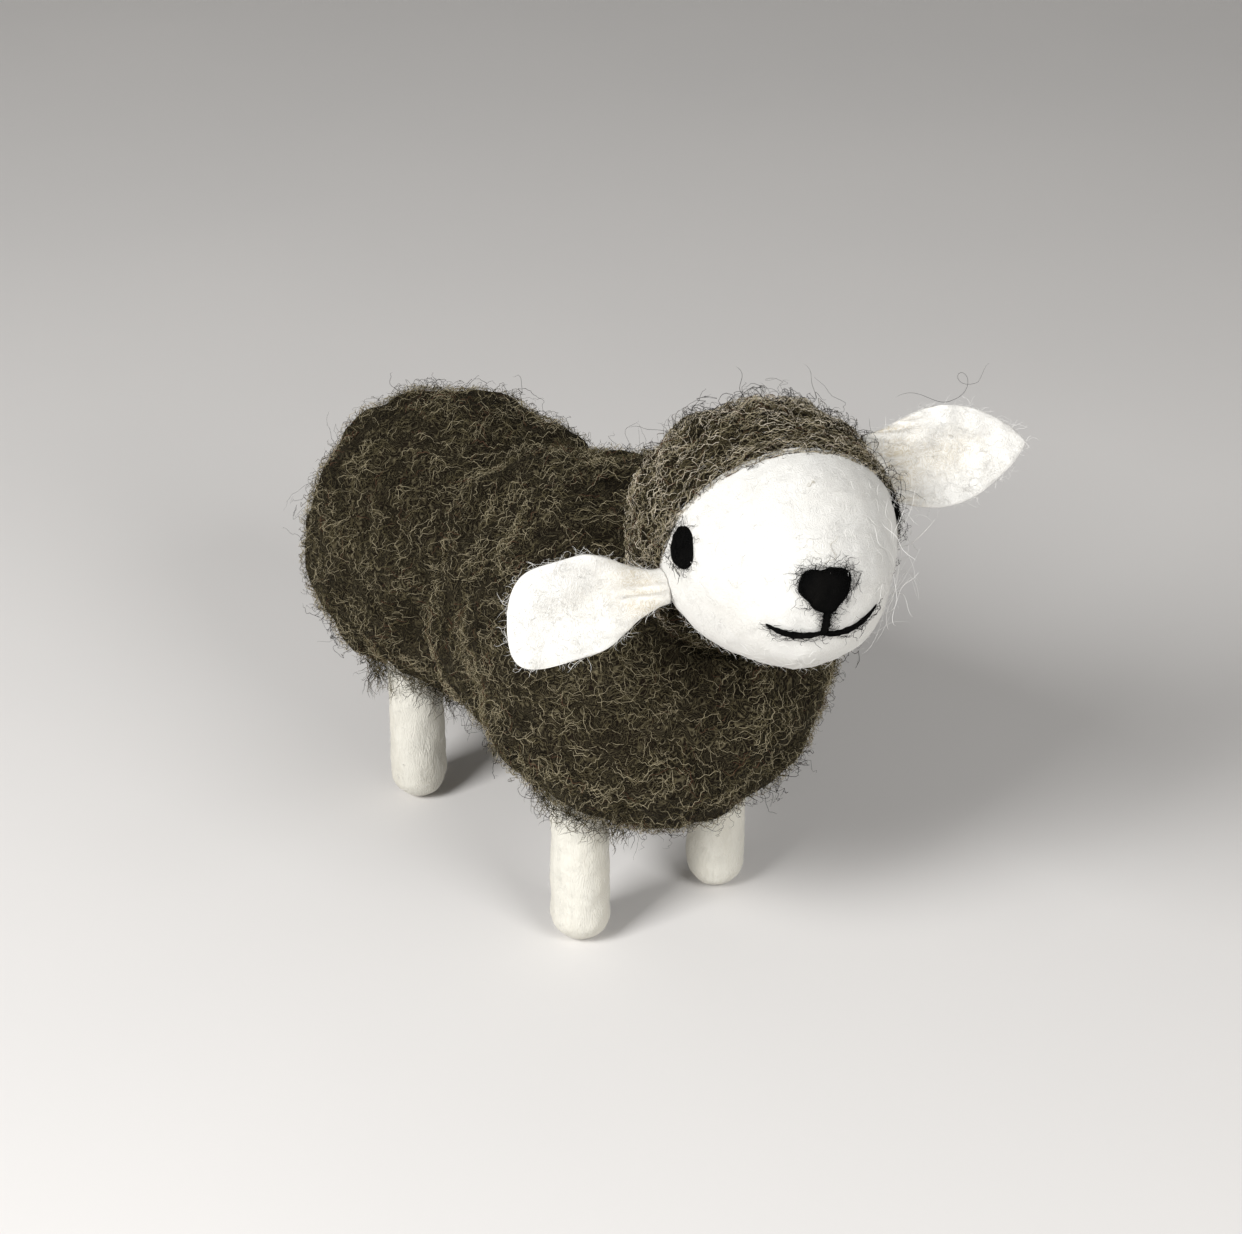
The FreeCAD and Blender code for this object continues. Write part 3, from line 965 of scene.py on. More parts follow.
@dataclass
class HeadFrame:
    """The head's own frame: X to the sheep's left, Y to the back of the head, Z up.

    Attributes:
        tilt: how far the face looks up, in degrees.
        pivot_offset: the neck's pivot, seen from the skull's centre, in this frame.
        skull_radius: the felt skull's radius.
    """

    tilt: float = 10.2
    pivot_offset: tuple[float, float, float] = (0.0, 3.5 * MM, -0.8 * MM)
    skull_radius: float = 15.0 * MM

    def __post_init__(self) -> None:
        """The nod's axis is the head's X, and the tilt about it gives the other two."""
        left = unit(np.array(joint("head_nod")["axis"], float))
        tilt = math.radians(self.tilt)
        back = math.cos(tilt) * np.cross(UP, left) - math.sin(tilt) * UP
        self.axes = np.array([left, back, np.cross(left, back)])
        self.pivot = pivot("head_nod")
        self.skull = self.pivot - np.array(self.pivot_offset) @ self.axes

    def point(self, *offset: float) -> Array:
        """A point given in the head's frame."""
        return self.skull + np.array(offset) @ self.axes

    def direction(self, *offset: float) -> Array:
        """A direction given in the head's frame."""
        return unit(np.array(offset, float) @ self.axes)


@dataclass(frozen=True)
class Thread:
    """One felted thread of the mouth.

    Attributes:
        name: the piece's name.
        route: its start, middle and end from the muzzle's centre, in the head's frame, in millimetres.
        radius: in millimetres.
        seed: for its wisps.
    """

    name: str
    route: tuple[tuple[float, float, float], ...]
    radius: float
    seed: int


MOUTH = (Thread("mouth_right", ((-7.7, -8.5, -2.3), (-4.5, -10.2, -3.9), (-0.6, -10.9, -3.5)), 0.40, 59),
         Thread("mouth_left", ((-2.2, -10.8, -3.6), (2.2, -10.8, -4.1), (6.4, -9.6, -1.9)), 0.40, 58),
         Thread("mouth_stem", ((-1.3, -10.8, -3.9), (-1.0, -11.3, -2.6), (-0.8, -11.6, 0.6)), 0.48, 58))


@dataclass
class Head:
    """The white felt skull and muzzle with its face.

    Attributes:
        muzzle_offset: the muzzle's centre from the skull's, in the head's frame.
        waist_curve: the radius of the hollow between the skull and the muzzle.
    """

    wardrobe: Wardrobe
    place: HeadFrame
    muzzle_radius: float = 11.6 * MM
    muzzle_offset: tuple[float, float, float] = (0.0, -6.0 * MM, -2.4 * MM)
    waist_curve: float = 60 * MM

    def __post_init__(self) -> None:
        """The head is two lobes, the skull and the muzzle."""
        self.muzzle = self.place.point(*self.muzzle_offset)
        self.lobes = Lobes(self.place.skull, self.place.skull_radius, self.muzzle, self.muzzle_radius,
                           self.waist_curve)
        self.dents = LumpField(41, 9 * MM)
        self.grain = LumpField(42, 2.6 * MM)

    def relief(self, points: Array) -> Array:
        """Soft hand-felted unevenness."""
        dent, grain = 0.16 * MM, 0.05 * MM
        return dent * self.dents.at(points) + grain * self.grain.at(points)

    def snap(self, points: Array, height: Array) -> tuple[Array, Array]:
        """Points at a height over the felt."""
        smooth, _ = self.lobes.snap(points, np.zeros(points.shape[:-1]))
        return self.lobes.snap(points, height + self.relief(smooth))

    def build(self) -> None:
        """Makes the felt head, its fuzz and the face."""
        rows, columns = 130, 150
        skin = self.lobes.skin(rows, columns, self.relief)
        # painted shade: the head is the ears' white felt painted darker, because it faces the lamps
        finish = FeltFinish("felt_head", rgba(0.68, 0.67, 0.64), rgba(0.60, 0.57, 0.51), 0.35)
        base = self.wardrobe.wear(skin.piece("felt_head"), finish, Slot.FELT, "head")
        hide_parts("head")
        self.fuzz(skin)
        self.build_eye("right_eye", 79, 45)
        self.build_eye("left_eye", 78, 46)
        self.build_nose()
        self.build_mouth()

    def fuzz(self, skin: Skin) -> None:
        """A white halo, a few fibres astray on the felt, and whiskers from the left cheek."""
        coat = Coat("felt_head", skin, self.snap, "head", Slot.FELT)
        halo = Curl(1.8 * MM, crimp=2.8 * MM, crimp_lift=0.0, wander=1.3, low=0.0, high=0.1 * MM,
                    rise=0.9 * MM, thickness=0.020 * MM, steps=7)
        coat.grow(self.wardrobe, Tone.WHITE, halo, 1000, 44)
        astray = Curl(8 * MM, crimp=2.6 * MM, crimp_bend=0.9, crimp_lift=0.0, wander=3.0, low=0.05 * MM,
                      high=0.15 * MM, thickness=0.016 * MM, steps=26)
        coat.grow(self.wardrobe, Tone.PALE, astray, 18, 40)

        def left_cheek(roots: Array) -> Array:
            """Roots on the cheek and jaw of the sheep's left side."""
            left, back, up = np.moveaxis((roots - self.muzzle) @ self.place.axes.T, -1, 0)
            return (left > 8.5 * MM) & (np.abs(up) < 9 * MM) & (back < 7 * MM)

        cheek = Coat("felt_cheek", skin, self.snap, "head", Slot.FELT, left_cheek)
        whisker = Curl(9 * MM, crimp=7 * MM, crimp_bend=0.5, crimp_lift=0.0, wander=0.8, low=0.0,
                       high=0.6 * MM, rise=6 * MM, thickness=0.03 * MM, steps=20)
        cheek.grow(self.wardrobe, Tone.WHITE, whisker, 500, 43)

    def pad(self, node: str, outline: Callable[[Array], Array], height: float, seed: int) -> Skin:
        """A domed pad of wool on the felt: the outline's radius at each angle, domed as a circle is.

        Args:
            node: the CAD node whose middle the pad is centred on.
            outline: the pad's radius at each angle from its own up direction.
            height: how far the dome stands out.
            seed: for its lumps.

        Returns:
            The pad as a closed skin, sunk a little into the felt.
        """
        rows, columns = 36, 72
        middle, normal = self.lobes.snap(node_middle(node)[None], np.zeros(1))
        up = unit(self.place.axes[2] - (self.place.axes[2] @ normal[0]) * normal[0])
        left = np.cross(up, normal[0])
        spin = turn_angles(columns)
        share = np.concatenate([np.linspace(0, 1, rows // 2), np.linspace(1, 0, rows // 2)])[:, None]
        radius = share * outline(spin)[None, :]
        flat = middle[0] + radius[..., None] * around(spin[None, :, None], up, left)
        top = np.arange(rows)[:, None] < rows // 2
        dome = height * np.sqrt(np.clip(1 - share ** 2, 0, 1)) * np.where(top, 1.0, -1.0)
        lumps = LumpField(seed, 1.6 * MM).at(flat) * 0.07 * MM
        grid, _ = self.lobes.snap(flat, dome + lumps * top)
        return Skin(grid)

    def wisps(self, name: str, skin: Skin, count: int, length: float, seed: int) -> None:
        """Short black fibres that lie over a pad and stray past its edge."""
        coat = Coat(name, skin, self.snap, "head", Slot.BLACK, self.proud)
        curl = Curl(length, crimp=1.4 * MM, crimp_bend=0.9, wander=1.8, low=0.35 * MM, high=0.75 * MM,
                    thickness=0.030 * MM, steps=9)
        coat.grow(self.wardrobe, Tone.BLACK, curl, count, seed)

    def proud(self, roots: Array) -> Array:
        """Roots that stand on or above the felt."""
        return self.lobes.offset(roots)[0] > -0.05 * MM

    def build_eye(self, node: str, lump_seed: int, seed: int) -> None:
        """A black oval pad with wispy edges."""
        def oval(angle: Array) -> Array:
            """A slightly tall oval with an uneven edge."""
            return 2.5 * MM * (1 + 0.10 * np.cos(2 * angle) + 0.05 * np.sin(3 * angle + seed))

        skin = self.pad(node, oval, 0.6 * MM, lump_seed)
        piece = self.wardrobe.wear(skin.piece(node + "_pad"), BLACK_FELT, Slot.BLACK, "head")
        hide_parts(node)
        self.wisps(node, skin, 240, 2.6 * MM, seed)

    def build_nose(self) -> None:
        """A rounded triangle, wide at the top, with a blunt point towards the mouth."""
        def triangle(angle: Array) -> Array:
            """A circle pulled out sideways and at three corners, one of which points down."""
            corners = 0.13 * np.cos(3 * (angle - math.pi))
            wide = 0.09 * np.cos(2 * (angle - math.pi / 2))
            return 3.1 * MM * (1 + corners + wide + 0.03 * np.sin(7 * angle))

        skin = self.pad("nose", triangle, 1.0 * MM, 74)
        piece = self.wardrobe.wear(skin.piece("nose_pad"), BLACK_FELT, Slot.BLACK, "head")
        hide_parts("nose")
        self.wisps("nose", skin, 560, 3.0 * MM, 47)

    def build_mouth(self) -> None:
        """A felted thread that smiles across the muzzle, and its stem up to the nose."""
        for thread in MOUTH:
            skin = self.thread_skin(self.path(thread), thread.radius * MM)
            piece = self.wardrobe.wear(skin.piece(thread.name), BLACK_FELT, Slot.BLACK, "head")
            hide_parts("mouth")
            self.wisps(thread.name, skin, 90, 2.4 * MM, thread.seed)

    def path(self, thread: Thread) -> Array:
        """A line on the muzzle: each coordinate is a quadratic through the route, then snapped."""
        count, proud = 60, 0.1 * MM
        given = np.array(thread.route) * MM
        fit = np.polynomial.polynomial.polyfit(np.linspace(0, 1, len(given)), given, 2)
        line = np.polynomial.polynomial.polyval(np.linspace(0, 1, count), fit).T
        snapped, _ = self.lobes.snap(self.muzzle + line @ self.place.axes, np.full(count, proud))
        return snapped

    def thread_skin(self, path: Array, radius: float) -> Skin:
        """An uneven round thread along a path: its radius falls as sine to a power at both ends."""
        columns, taper_power = 16, 0.45
        tangent = unit(np.gradient(path, axis=0))
        _, normal = self.lobes.offset(path)
        across = np.cross(tangent, normal)
        t = np.linspace(0, 1, len(path))
        uneven = 1 + 0.15 * np.sin(t * 37) * np.sin(t * 11)
        thick = radius * np.clip(np.sin(math.pi * t), 0, 1) ** taper_power * uneven
        ring = around(turn_angles(columns)[None, :, None], normal[:, None], across[:, None])
        return Skin(path[:, None] + thick[:, None, None] * ring)


@dataclass
class Hood:
    """The fleece over the back, top and sides of the head, combed round the face.

    Attributes:
        ears: each ear's name and the way it reaches, in that frame.
        radius: of its ball about the neck's pivot.
        lining: the radius of its inner face.
        edge_distance: how far ahead of the pivot its edge lies.
        edge_lean: how far the edge's plane leans, in degrees.
        edge_skew: how far it turns to one side, in degrees.
        edge_taper: how much thinner it is at the edge.
        cover: its least thickness over the felt.
        dent_size: how wide the dent at each ear's root is.
        roll: the angle over which the edge turns in, in radians.
        fibres: what the coats' counts are shares of.
    """

    wardrobe: Wardrobe
    place: HeadFrame
    ears: dict[str, tuple[float, float, float]]
    radius: float = 17.2 * MM
    lining: float = 13.6 * MM
    edge_distance: float = 3.4 * MM
    edge_lean: float = 24.0
    edge_skew: float = -3.0
    lump_height: float = 0.45 * MM
    edge_taper: float = 0.8 * MM
    cover: float = 0.4 * MM
    dent_depth: float = 2.2 * MM
    dent_size: float = 3.8 * MM
    roll: float = 0.10
    fibres: int = 1900

    def __post_init__(self) -> None:
        """The face's opening looks along a leaning axis."""
        lean, skew = math.radians(self.edge_lean), math.radians(self.edge_skew)
        self.forward = self.place.direction(math.sin(skew), -math.cos(lean), -math.sin(lean))
        self.lumps = LumpField(61, 8 * MM)
        self.small_lumps = LumpField(62, 3.5 * MM)

    def edge_angle(self) -> float:
        """From the back of the hood round to its edge."""
        return math.pi - math.acos(self.edge_distance / self.radius)

    def relief(self, points: Array) -> Array:
        """Two sizes of lump that die away at the edge, less a taper there and a dent for each ear.

        Apart from the dents, the wool is never thinner over the felt skull than its cover.
        """
        ahead = (points - self.place.pivot) @ self.forward
        edge = smooth_step(-7 * MM, self.edge_distance, ahead)
        lumps = self.lumps.at(points) + 0.5 * self.small_lumps.at(points)
        height = self.lump_height * lumps * (1 - 0.8 * edge) - self.edge_taper * edge
        height = np.maximum(height, self.felt_reach(points) + self.cover - self.radius)
        return height - self.dent_depth * self.at_ears(points)

    def felt_reach(self, points: Array) -> Array:
        """From the pivot to the felt skull's surface towards each point: a ray from inside a ball."""
        offset = self.place.skull - self.place.pivot
        toward = unit(points - self.place.pivot) @ offset
        return toward + np.sqrt(self.place.skull_radius ** 2 - offset @ offset + toward ** 2)

    def at_ears(self, points: Array) -> Array:
        """One on the line of an ear's root, falling to zero about it."""
        near = np.zeros(points.shape[:-1])
        innermost = -4 * MM
        for name, way in self.ears.items():
            offset = points - pivot(name + "_fold")
            along = self.place.direction(*way)
            aside = offset - (offset @ along)[..., None] * along
            near = np.maximum(near, np.exp(-(aside ** 2).sum(-1) / self.dent_size ** 2)
                              * ((offset @ along) > innermost))
        return near

    def snap(self, points: Array, height: Array) -> tuple[Array, Array]:
        """Points at a height over the hood's ball, sinking to the felt in front of its edge."""
        away = points - self.place.pivot
        normal = unit(away)
        start, end, depth = -0.5 * MM, 1.8 * MM, 3.5 * MM
        ahead = dot(normal, self.forward)[..., 0] * self.radius - self.edge_distance
        sink = smooth_step(start, end, ahead) * depth
        reach = self.radius + height + self.relief(self.place.pivot + normal * self.radius) - sink
        return self.place.pivot + reach[..., None] * normal, normal

    def skin(self) -> Skin:
        """A thick bowl: out over the ball from the back, round the rolled edge, and back inside."""
        outer_rows, roll_rows, inner_rows, columns = 110, 22, 40, 220
        turn_in = self.edge_angle() - self.roll
        roll = np.linspace(0, math.pi, roll_rows)[1:-1]
        middle = (self.radius + self.lining) / 2
        half = (self.radius - self.lining) / 2
        tilt = np.concatenate([np.linspace(0, turn_in, outer_rows),
                               turn_in + np.sin(roll) * half / middle,
                               np.linspace(turn_in, 0, inner_rows)])
        reach = np.concatenate([np.full(outer_rows, self.radius), middle + half * np.cos(roll),
                                np.full(inner_rows, self.lining)])
        across = unit(np.cross(self.forward, self.place.axes[2]))
        spoke = around(turn_angles(columns)[None, :, None], across, np.cross(across, self.forward))
        way = around(tilt[:, None, None], -self.forward, spoke)
        lift = self.relief(self.place.pivot + way * self.radius) * (reach > middle)[:, None]
        return Skin(self.place.pivot + way * (reach[:, None] + lift)[..., None])

    def build(self) -> None:
        """Makes the hood's skin and everything that grows from it."""
        skin = self.skin()
        base = self.wardrobe.wear(skin.piece("fleece_hood"), FLEECE, Slot.FLEECE, "head")
        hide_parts("head_fleece")
        self.coats(skin)
        self.brow(skin)

    def outside(self, roots: Array) -> Array:
        """Roots on the outer face, clear of the ears."""
        gap = np.linalg.norm(roots - self.place.pivot, axis=-1)
        return (gap > self.radius - 2.6 * MM) & (self.at_ears(roots) < 0.45)

    def upper(self, roots: Array) -> Array:
        """Roots on the brow and crown, where the wool is palest."""
        height = (roots - self.place.pivot) @ self.place.axes[2]
        return self.outside(roots) & (height + 5 * MM * self.lumps.at(roots) > -2 * MM)

    def edge(self, roots: Array) -> Array:
        """Roots in the last few millimetres before the face, clear of the ears."""
        ahead = (roots - self.place.pivot) @ self.forward - self.edge_distance
        gap = np.linalg.norm(roots - self.place.pivot, axis=-1)
        return (ahead > -3.0 * MM) & (gap > 14.5 * MM) & (self.at_ears(roots) < 0.7)

    def round_the_face(self, roots: Array, normals: Array) -> Array:
        """Along the hood's edge."""
        return np.cross(np.broadcast_to(self.forward, normals.shape), normals)

    def coat(self, name: str, skin: Skin, keep: Callable[[Array], Array], tangle: float) -> Coat:
        """A coat that is combed round the face."""
        return Coat(name, skin, self.snap, "head", Slot.FLEECE, keep, self.round_the_face, tangle)

    def coats(self, skin: Skin) -> None:
        """The lying, loose and stray fibres, with the palest on the crown."""
        whole = self.coat("fleece_hood", skin, self.outside, 0.4)
        crown = self.coat("fleece_hood", skin, self.upper, 0.4)
        lying = Curl(5.0 * MM, crimp_bend=0.45, crimp_lift=0.14 * MM, wander=0.9, low=-0.15 * MM,
                     high=0.7 * MM, thickness=0.034 * MM)
        loose = Curl(7.0 * MM, crimp=1.6 * MM, crimp_bend=1.3, wander=2.0, low=-0.3 * MM, high=1.9 * MM,
                     thickness=0.032 * MM, steps=20)
        stray = Curl(10 * MM, crimp=2.6 * MM, crimp_bend=1.1, wander=2.2, low=-0.2 * MM, high=1.4 * MM,
                     rise=4.0 * MM, thickness=0.030 * MM, steps=24)
        count = self.fibres
        for layer, tone, curl, tried, seed in (
                (whole, Tone.DARK, lying, count, 64),
                (whole, Tone.EARTH, lying, count * 2 // 3, 65),
                (whole, Tone.GREY, lying, count * 2 // 3, 66),
                (crown, Tone.PALE, lying, count * 4 // 3, 67),
                (crown, Tone.SILVER, lying, count * 5 // 4, 72),
                (whole, Tone.RUST, lying, count // 4, 68),
                (whole, Tone.DARK, loose, 700, 69),
                (whole, Tone.EARTH, loose, 400, 70),
                (whole, Tone.DARK, stray, 260, 71)):
            layer.grow(self.wardrobe, tone, curl, tried, seed)

    def brow(self, skin: Skin) -> None:
        """Fine fibres that follow the hood's edge, and a few that stray on to the face and outwards."""
        combed = self.coat("fleece_brow", skin, self.edge, 0.2)
        tangled = self.coat("fleece_brow", skin, self.edge, 0.7)
        wisp = Curl(5.0 * MM, wander=0.5, low=0.0, high=0.5 * MM, thickness=0.028 * MM)
        astray = Curl(5.5 * MM, crimp_bend=0.9, wander=1.8, low=0.1 * MM, high=0.6 * MM, rise=0.8 * MM,
                      thickness=0.024 * MM, steps=16)
        for layer, tone, curl, tried, seed in (
                (combed, Tone.DARK, wisp, 500, 73),
                (combed, Tone.PALE, wisp, 1400, 74),
                (combed, Tone.SILVER, wisp, 1000, 75),
                (tangled, Tone.DARK, astray, 160, 76),
                (tangled, Tone.EARTH, astray, 200, 77),
                (tangled, Tone.PALE, astray, 260, 78)):
            layer.grow(self.wardrobe, tone, curl, tried, seed)


class Tip(Enum):
    """How an ear ends: past its widest place the width falls as (1 - t ** first) ** second."""

    BLUNT = (6.5, 0.45)
    POINTED = (1.9, 0.8)


@dataclass
class Ear:
    """A cupped felt leaf on a narrow root.

    Attributes:
        name: the CAD node's, which is the body's too.
        reach: the way the ear points, in the head's frame.
        widest: where the blade is widest, as a share of the length.
        hollow: how deep the front's dent is.
        raised: how far the blade lies across from the stalk's line.
        slant: how far the tip leans across, for each unit of width.
        lean_back: how far the front face looks up, in degrees.
    """

    wardrobe: Wardrobe
    place: HeadFrame
    name: str
    reach: tuple[float, float, float]
    tip: Tip
    seed: int
    root_half_width: float = 2.3 * MM
    widest: float = 0.54
    hollow: float = 0.3 * MM
    raised: float = 0.0
    slant: float = 0.0
    length: float = 22.0 * MM
    half_width: float = 6.2 * MM
    half_thickness: float = 1.25 * MM
    lean_back: float = 10.0

    def __post_init__(self) -> None:
        """The ear's own frame stands on its fold's pivot."""
        self.root = pivot(self.name + "_fold")
        lean = math.radians(self.lean_back)
        along = self.place.direction(*self.reach)
        front = self.place.direction(0, -math.cos(lean), math.sin(lean))
        across = unit(np.cross(front, along))
        self.axes = np.array([along, across, np.cross(along, across)])
        self.grain = LumpField(self.seed, 4 * MM)

    def width(self, u: Array) -> Array:
        """Half the leaf's width: the stalk's, a smooth step out to the blade's, then the tip's fall."""
        blade = smooth_step(0.04, self.widest, u)
        t = np.clip((u - self.widest) / (1 - self.widest), 0, 1)
        first, second = self.tip.value
        fall = (1 - t ** first) ** second
        return (self.root_half_width + (self.half_width - self.root_half_width) * blade) * fall

    def skin(self) -> Skin:
        """The leaf: a flattened ring at each step out, cupped, hollow on its front and creased."""
        rows, columns = 80, 80
        cup_depth, crease_depth, bump_height = 1.5 * MM, 0.28 * MM, 0.16 * MM
        u = 0.5 - 0.5 * np.cos(np.linspace(0, math.pi, rows))[:, None]
        spin = turn_angles(columns)[None, :]
        open_end = np.clip(u / 0.03, 0, 1) ** 0.5
        thick = self.half_thickness * (1.25 - 0.7 * u) * open_end * np.clip((1 - u) / 0.12, 0, 1) ** 0.5
        y = self.width(u) * open_end * np.cos(spin)
        front = np.sin(spin) > 0
        z = thick * np.sign(np.sin(spin)) * np.abs(np.sin(spin)) ** 0.75
        cup = cup_depth * (y / self.half_width) ** 2 * np.sin(math.pi * u)
        dent = np.exp(-((u - 0.50) / 0.22) ** 2 - (y / (2.6 * MM)) ** 2) * front
        near_stalk = np.exp(-((u - 0.20) / 0.14) ** 2) * front
        creases = near_stalk * np.sin(y * TURN / (2.1 * MM) + 7 * u + 2 * np.sin(y * TURN / (5 * MM)))
        z = z + cup - self.hollow * dent + crease_depth * creases
        x = u * self.length + self.slant * y * smooth_step(0.5, 1.0, u)
        y = y + self.raised * smooth_step(0.0, 0.5, u)
        points = self.root + np.stack([x, y, z], -1) @ self.axes
        at_ends = np.clip(u / 0.1, 0, 1) * np.clip((1 - u) / 0.1, 0, 1)
        bump = bump_height * self.grain.at(points) * at_ends
        # painted shade: darker on the front of the folded stalk, more in its creases, and in the blade's hollow
        self.stain = 0.8 * near_stalk * (0.6 + 0.4 * creases) + self.hollow / MM * 0.45 * dent
        return Skin(points + (bump * np.where(front, 1.0, -1.0))[..., None] * self.axes[2])

    def build(self) -> None:
        """Makes the leaf and its fuzz."""
        skin = self.skin()
        # painted light: the ears are the head's white felt painted lighter, because they tilt away from the lamps
        finish = FeltFinish("felt_ear", rgba(0.80, 0.79, 0.76), rgba(0.60, 0.54, 0.43), 0.12)
        base = self.wardrobe.wear(skin.piece("felt_" + self.name), finish, Slot.FELT, self.name)
        # stores the painted shade of the stalk, its creases and the hollow
        mark(base, skin, self.stain)
        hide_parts(self.name)

        def outward(roots: Array, normals: Array) -> Array:
            """Along the ear."""
            return np.broadcast_to(self.axes[0], normals.shape)

        coat = Coat("felt_" + self.name, skin, None, self.name, Slot.FELT, comb=outward)
        halo = Curl(2.2 * MM, crimp=2.4 * MM, crimp_lift=0.0, wander=1.8, low=0.0, high=0.06 * MM,
                    rise=0.9 * MM, thickness=0.020 * MM, steps=7)
        coat.grow(self.wardrobe, Tone.WHITE, halo, 800, self.seed + 1)

    def stray_thread(self) -> None:
        """One long dark fibre over the ear, which goes steadily out while its height swings.

        Its loop is a circle added where the phase turns once, and its end turns up.
        """
        steps, loop = 90, 1.2
        t = np.linspace(0, 1, steps)
        turn = TURN * smooth_step(0.55, 0.85, t)
        out = 5.5 + 13.0 * t + loop * np.sin(turn)
        swing = 0.9 * np.sin(TURN * 1.3 * t + 0.6)
        over = 8.0 + swing + loop * (1 - np.cos(turn)) + 2.5 * smooth_step(0.85, 1, t)
        path = np.stack([out * MM, over * MM, 0.8 * MM * np.sin(5 * t)], -1) @ self.axes + self.root
        sides = np.broadcast_to(self.axes[2], path.shape)
        rng = np.random.default_rng(149)
        piece = fibre_piece("fleece_thread", path[None], sides[None], 0.04 * MM, rng)
        self.wardrobe.wear(piece, Tone.DARK, Slot.FLEECE, self.name)


@dataclass
class Leg:
    """A straight felt rod with a rounded foot.

    Attributes:
        name: which leg it is.
        above_hip: how far the rod goes on over its pivot, inside the fleece.
    """

    wardrobe: Wardrobe
    name: str
    seed: int
    foot_radius: float = 4.25 * MM
    top_radius: float = 3.95 * MM
    above_hip: float = 3 * MM

    def __post_init__(self) -> None:
        """The leg hangs from its hip joint."""
        self.hip = pivot(self.name + "_hip")
        self.grain = LumpField(self.seed, 4.5 * MM)
        self.fine = LumpField(self.seed + 1, 1.8 * MM)

    def skin(self) -> Skin:
        """A rod turned about its own axis, with a round foot and a round top inside the fleece."""
        rows, columns = 90, 56
        t = np.linspace(0, 1, rows)[:, None]
        height = self.hip[2] + self.above_hip
        z = height * (1 - t)
        radius = self.top_radius + (self.foot_radius - self.top_radius) * t
        foot = np.clip(z / self.foot_radius, 0, 1)
        crown = np.clip((height - z) / self.top_radius, 0, 1)
        radius = radius * np.sqrt(1 - (1 - foot) ** 2) * np.sqrt(1 - (1 - crown) ** 2)
        ring = around(turn_angles(columns)[None, :, None], LEFT, BACK)
        axis = self.hip * (LEFT + BACK) + z[..., None] * UP
        smooth = axis + ring * radius[..., None]
        coarse, fine = 0.08 * MM, 0.04 * MM
        bump = coarse * self.grain.at(smooth) + fine * self.fine.at(smooth)
        bump = bump * np.clip(foot * 3, 0, 1) * crown
        return Skin(smooth + ring * bump[..., None])

    def build(self) -> None:
        """Makes the rod and its fuzz."""
        body = self.name + "_leg"
        skin = self.skin()
        finish = FeltFinish("felt_leg", rgba(0.69, 0.67, 0.60), rgba(0.52, 0.475, 0.38), 0.6,
                            grain=(1.0, 1.0, 0.22))
        base = self.wardrobe.wear(skin.piece("felt_" + body), finish, Slot.FELT, body)
        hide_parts(body)

        def off_the_floor(roots: Array) -> Array:
            """Roots above the sole and below the fleece."""
            return (roots[:, 2] > 1.5 * MM) & (roots[:, 2] < self.hip[2] - 3 * MM)

        coat = Coat("felt_" + body, skin, None, body, Slot.FELT, off_the_floor)
        halo = Curl(1.4 * MM, crimp=2.0 * MM, crimp_lift=0.0, wander=2.0, low=0.0, high=0.06 * MM,
                    rise=0.35 * MM, thickness=0.014 * MM, steps=7)
        coat.grow(self.wardrobe, Tone.WHITE, halo, 400, self.seed + 2)


@dataclass
class Insides:
    """The core wool and the armature, which keep their CAD shapes and get a proper finish."""

    core: FeltFinish = FeltFinish("felt_core", rgba(0.66, 0.62, 0.54), rgba(0.5, 0.45, 0.36), 0.8)
    wire: WireFinish = WireFinish("wire_steel")

    def dress(self) -> None:
        """Assigns a finish to each node that stays."""
        materials = {Slot.CORE.value: self.core.material(), Slot.WIRE.value: self.wire.material()}
        slots = {s["node"]: s["material_slot"] for s in frame["record"]["subparts"]}
        for node, piece in frame["nodes"].items():
            if slots[node] in materials and not piece.hide_render:
                piece.data.materials.clear()
                piece.data.materials.append(materials[slots[node]])
                log.info("%s keeps its CAD shape", node)


@dataclass(frozen=True)
class Lamp:
    """A square soft light.

    Attributes:
        ahead: how far it is from the origin the way the camera looks, in metres.
        right: how far it is to the camera's right.
        height: how high it hangs.
        size: its side.
        power: in watts.
    """

    name: str
    ahead: float
    right: float
    height: float
    size: float
    power: float


LAMPS = (Lamp("key", -0.37, -0.37, 0.40, 0.24, 4.6),
         Lamp("fill", -0.42, 0.30, 0.36, 0.26, 1.8))


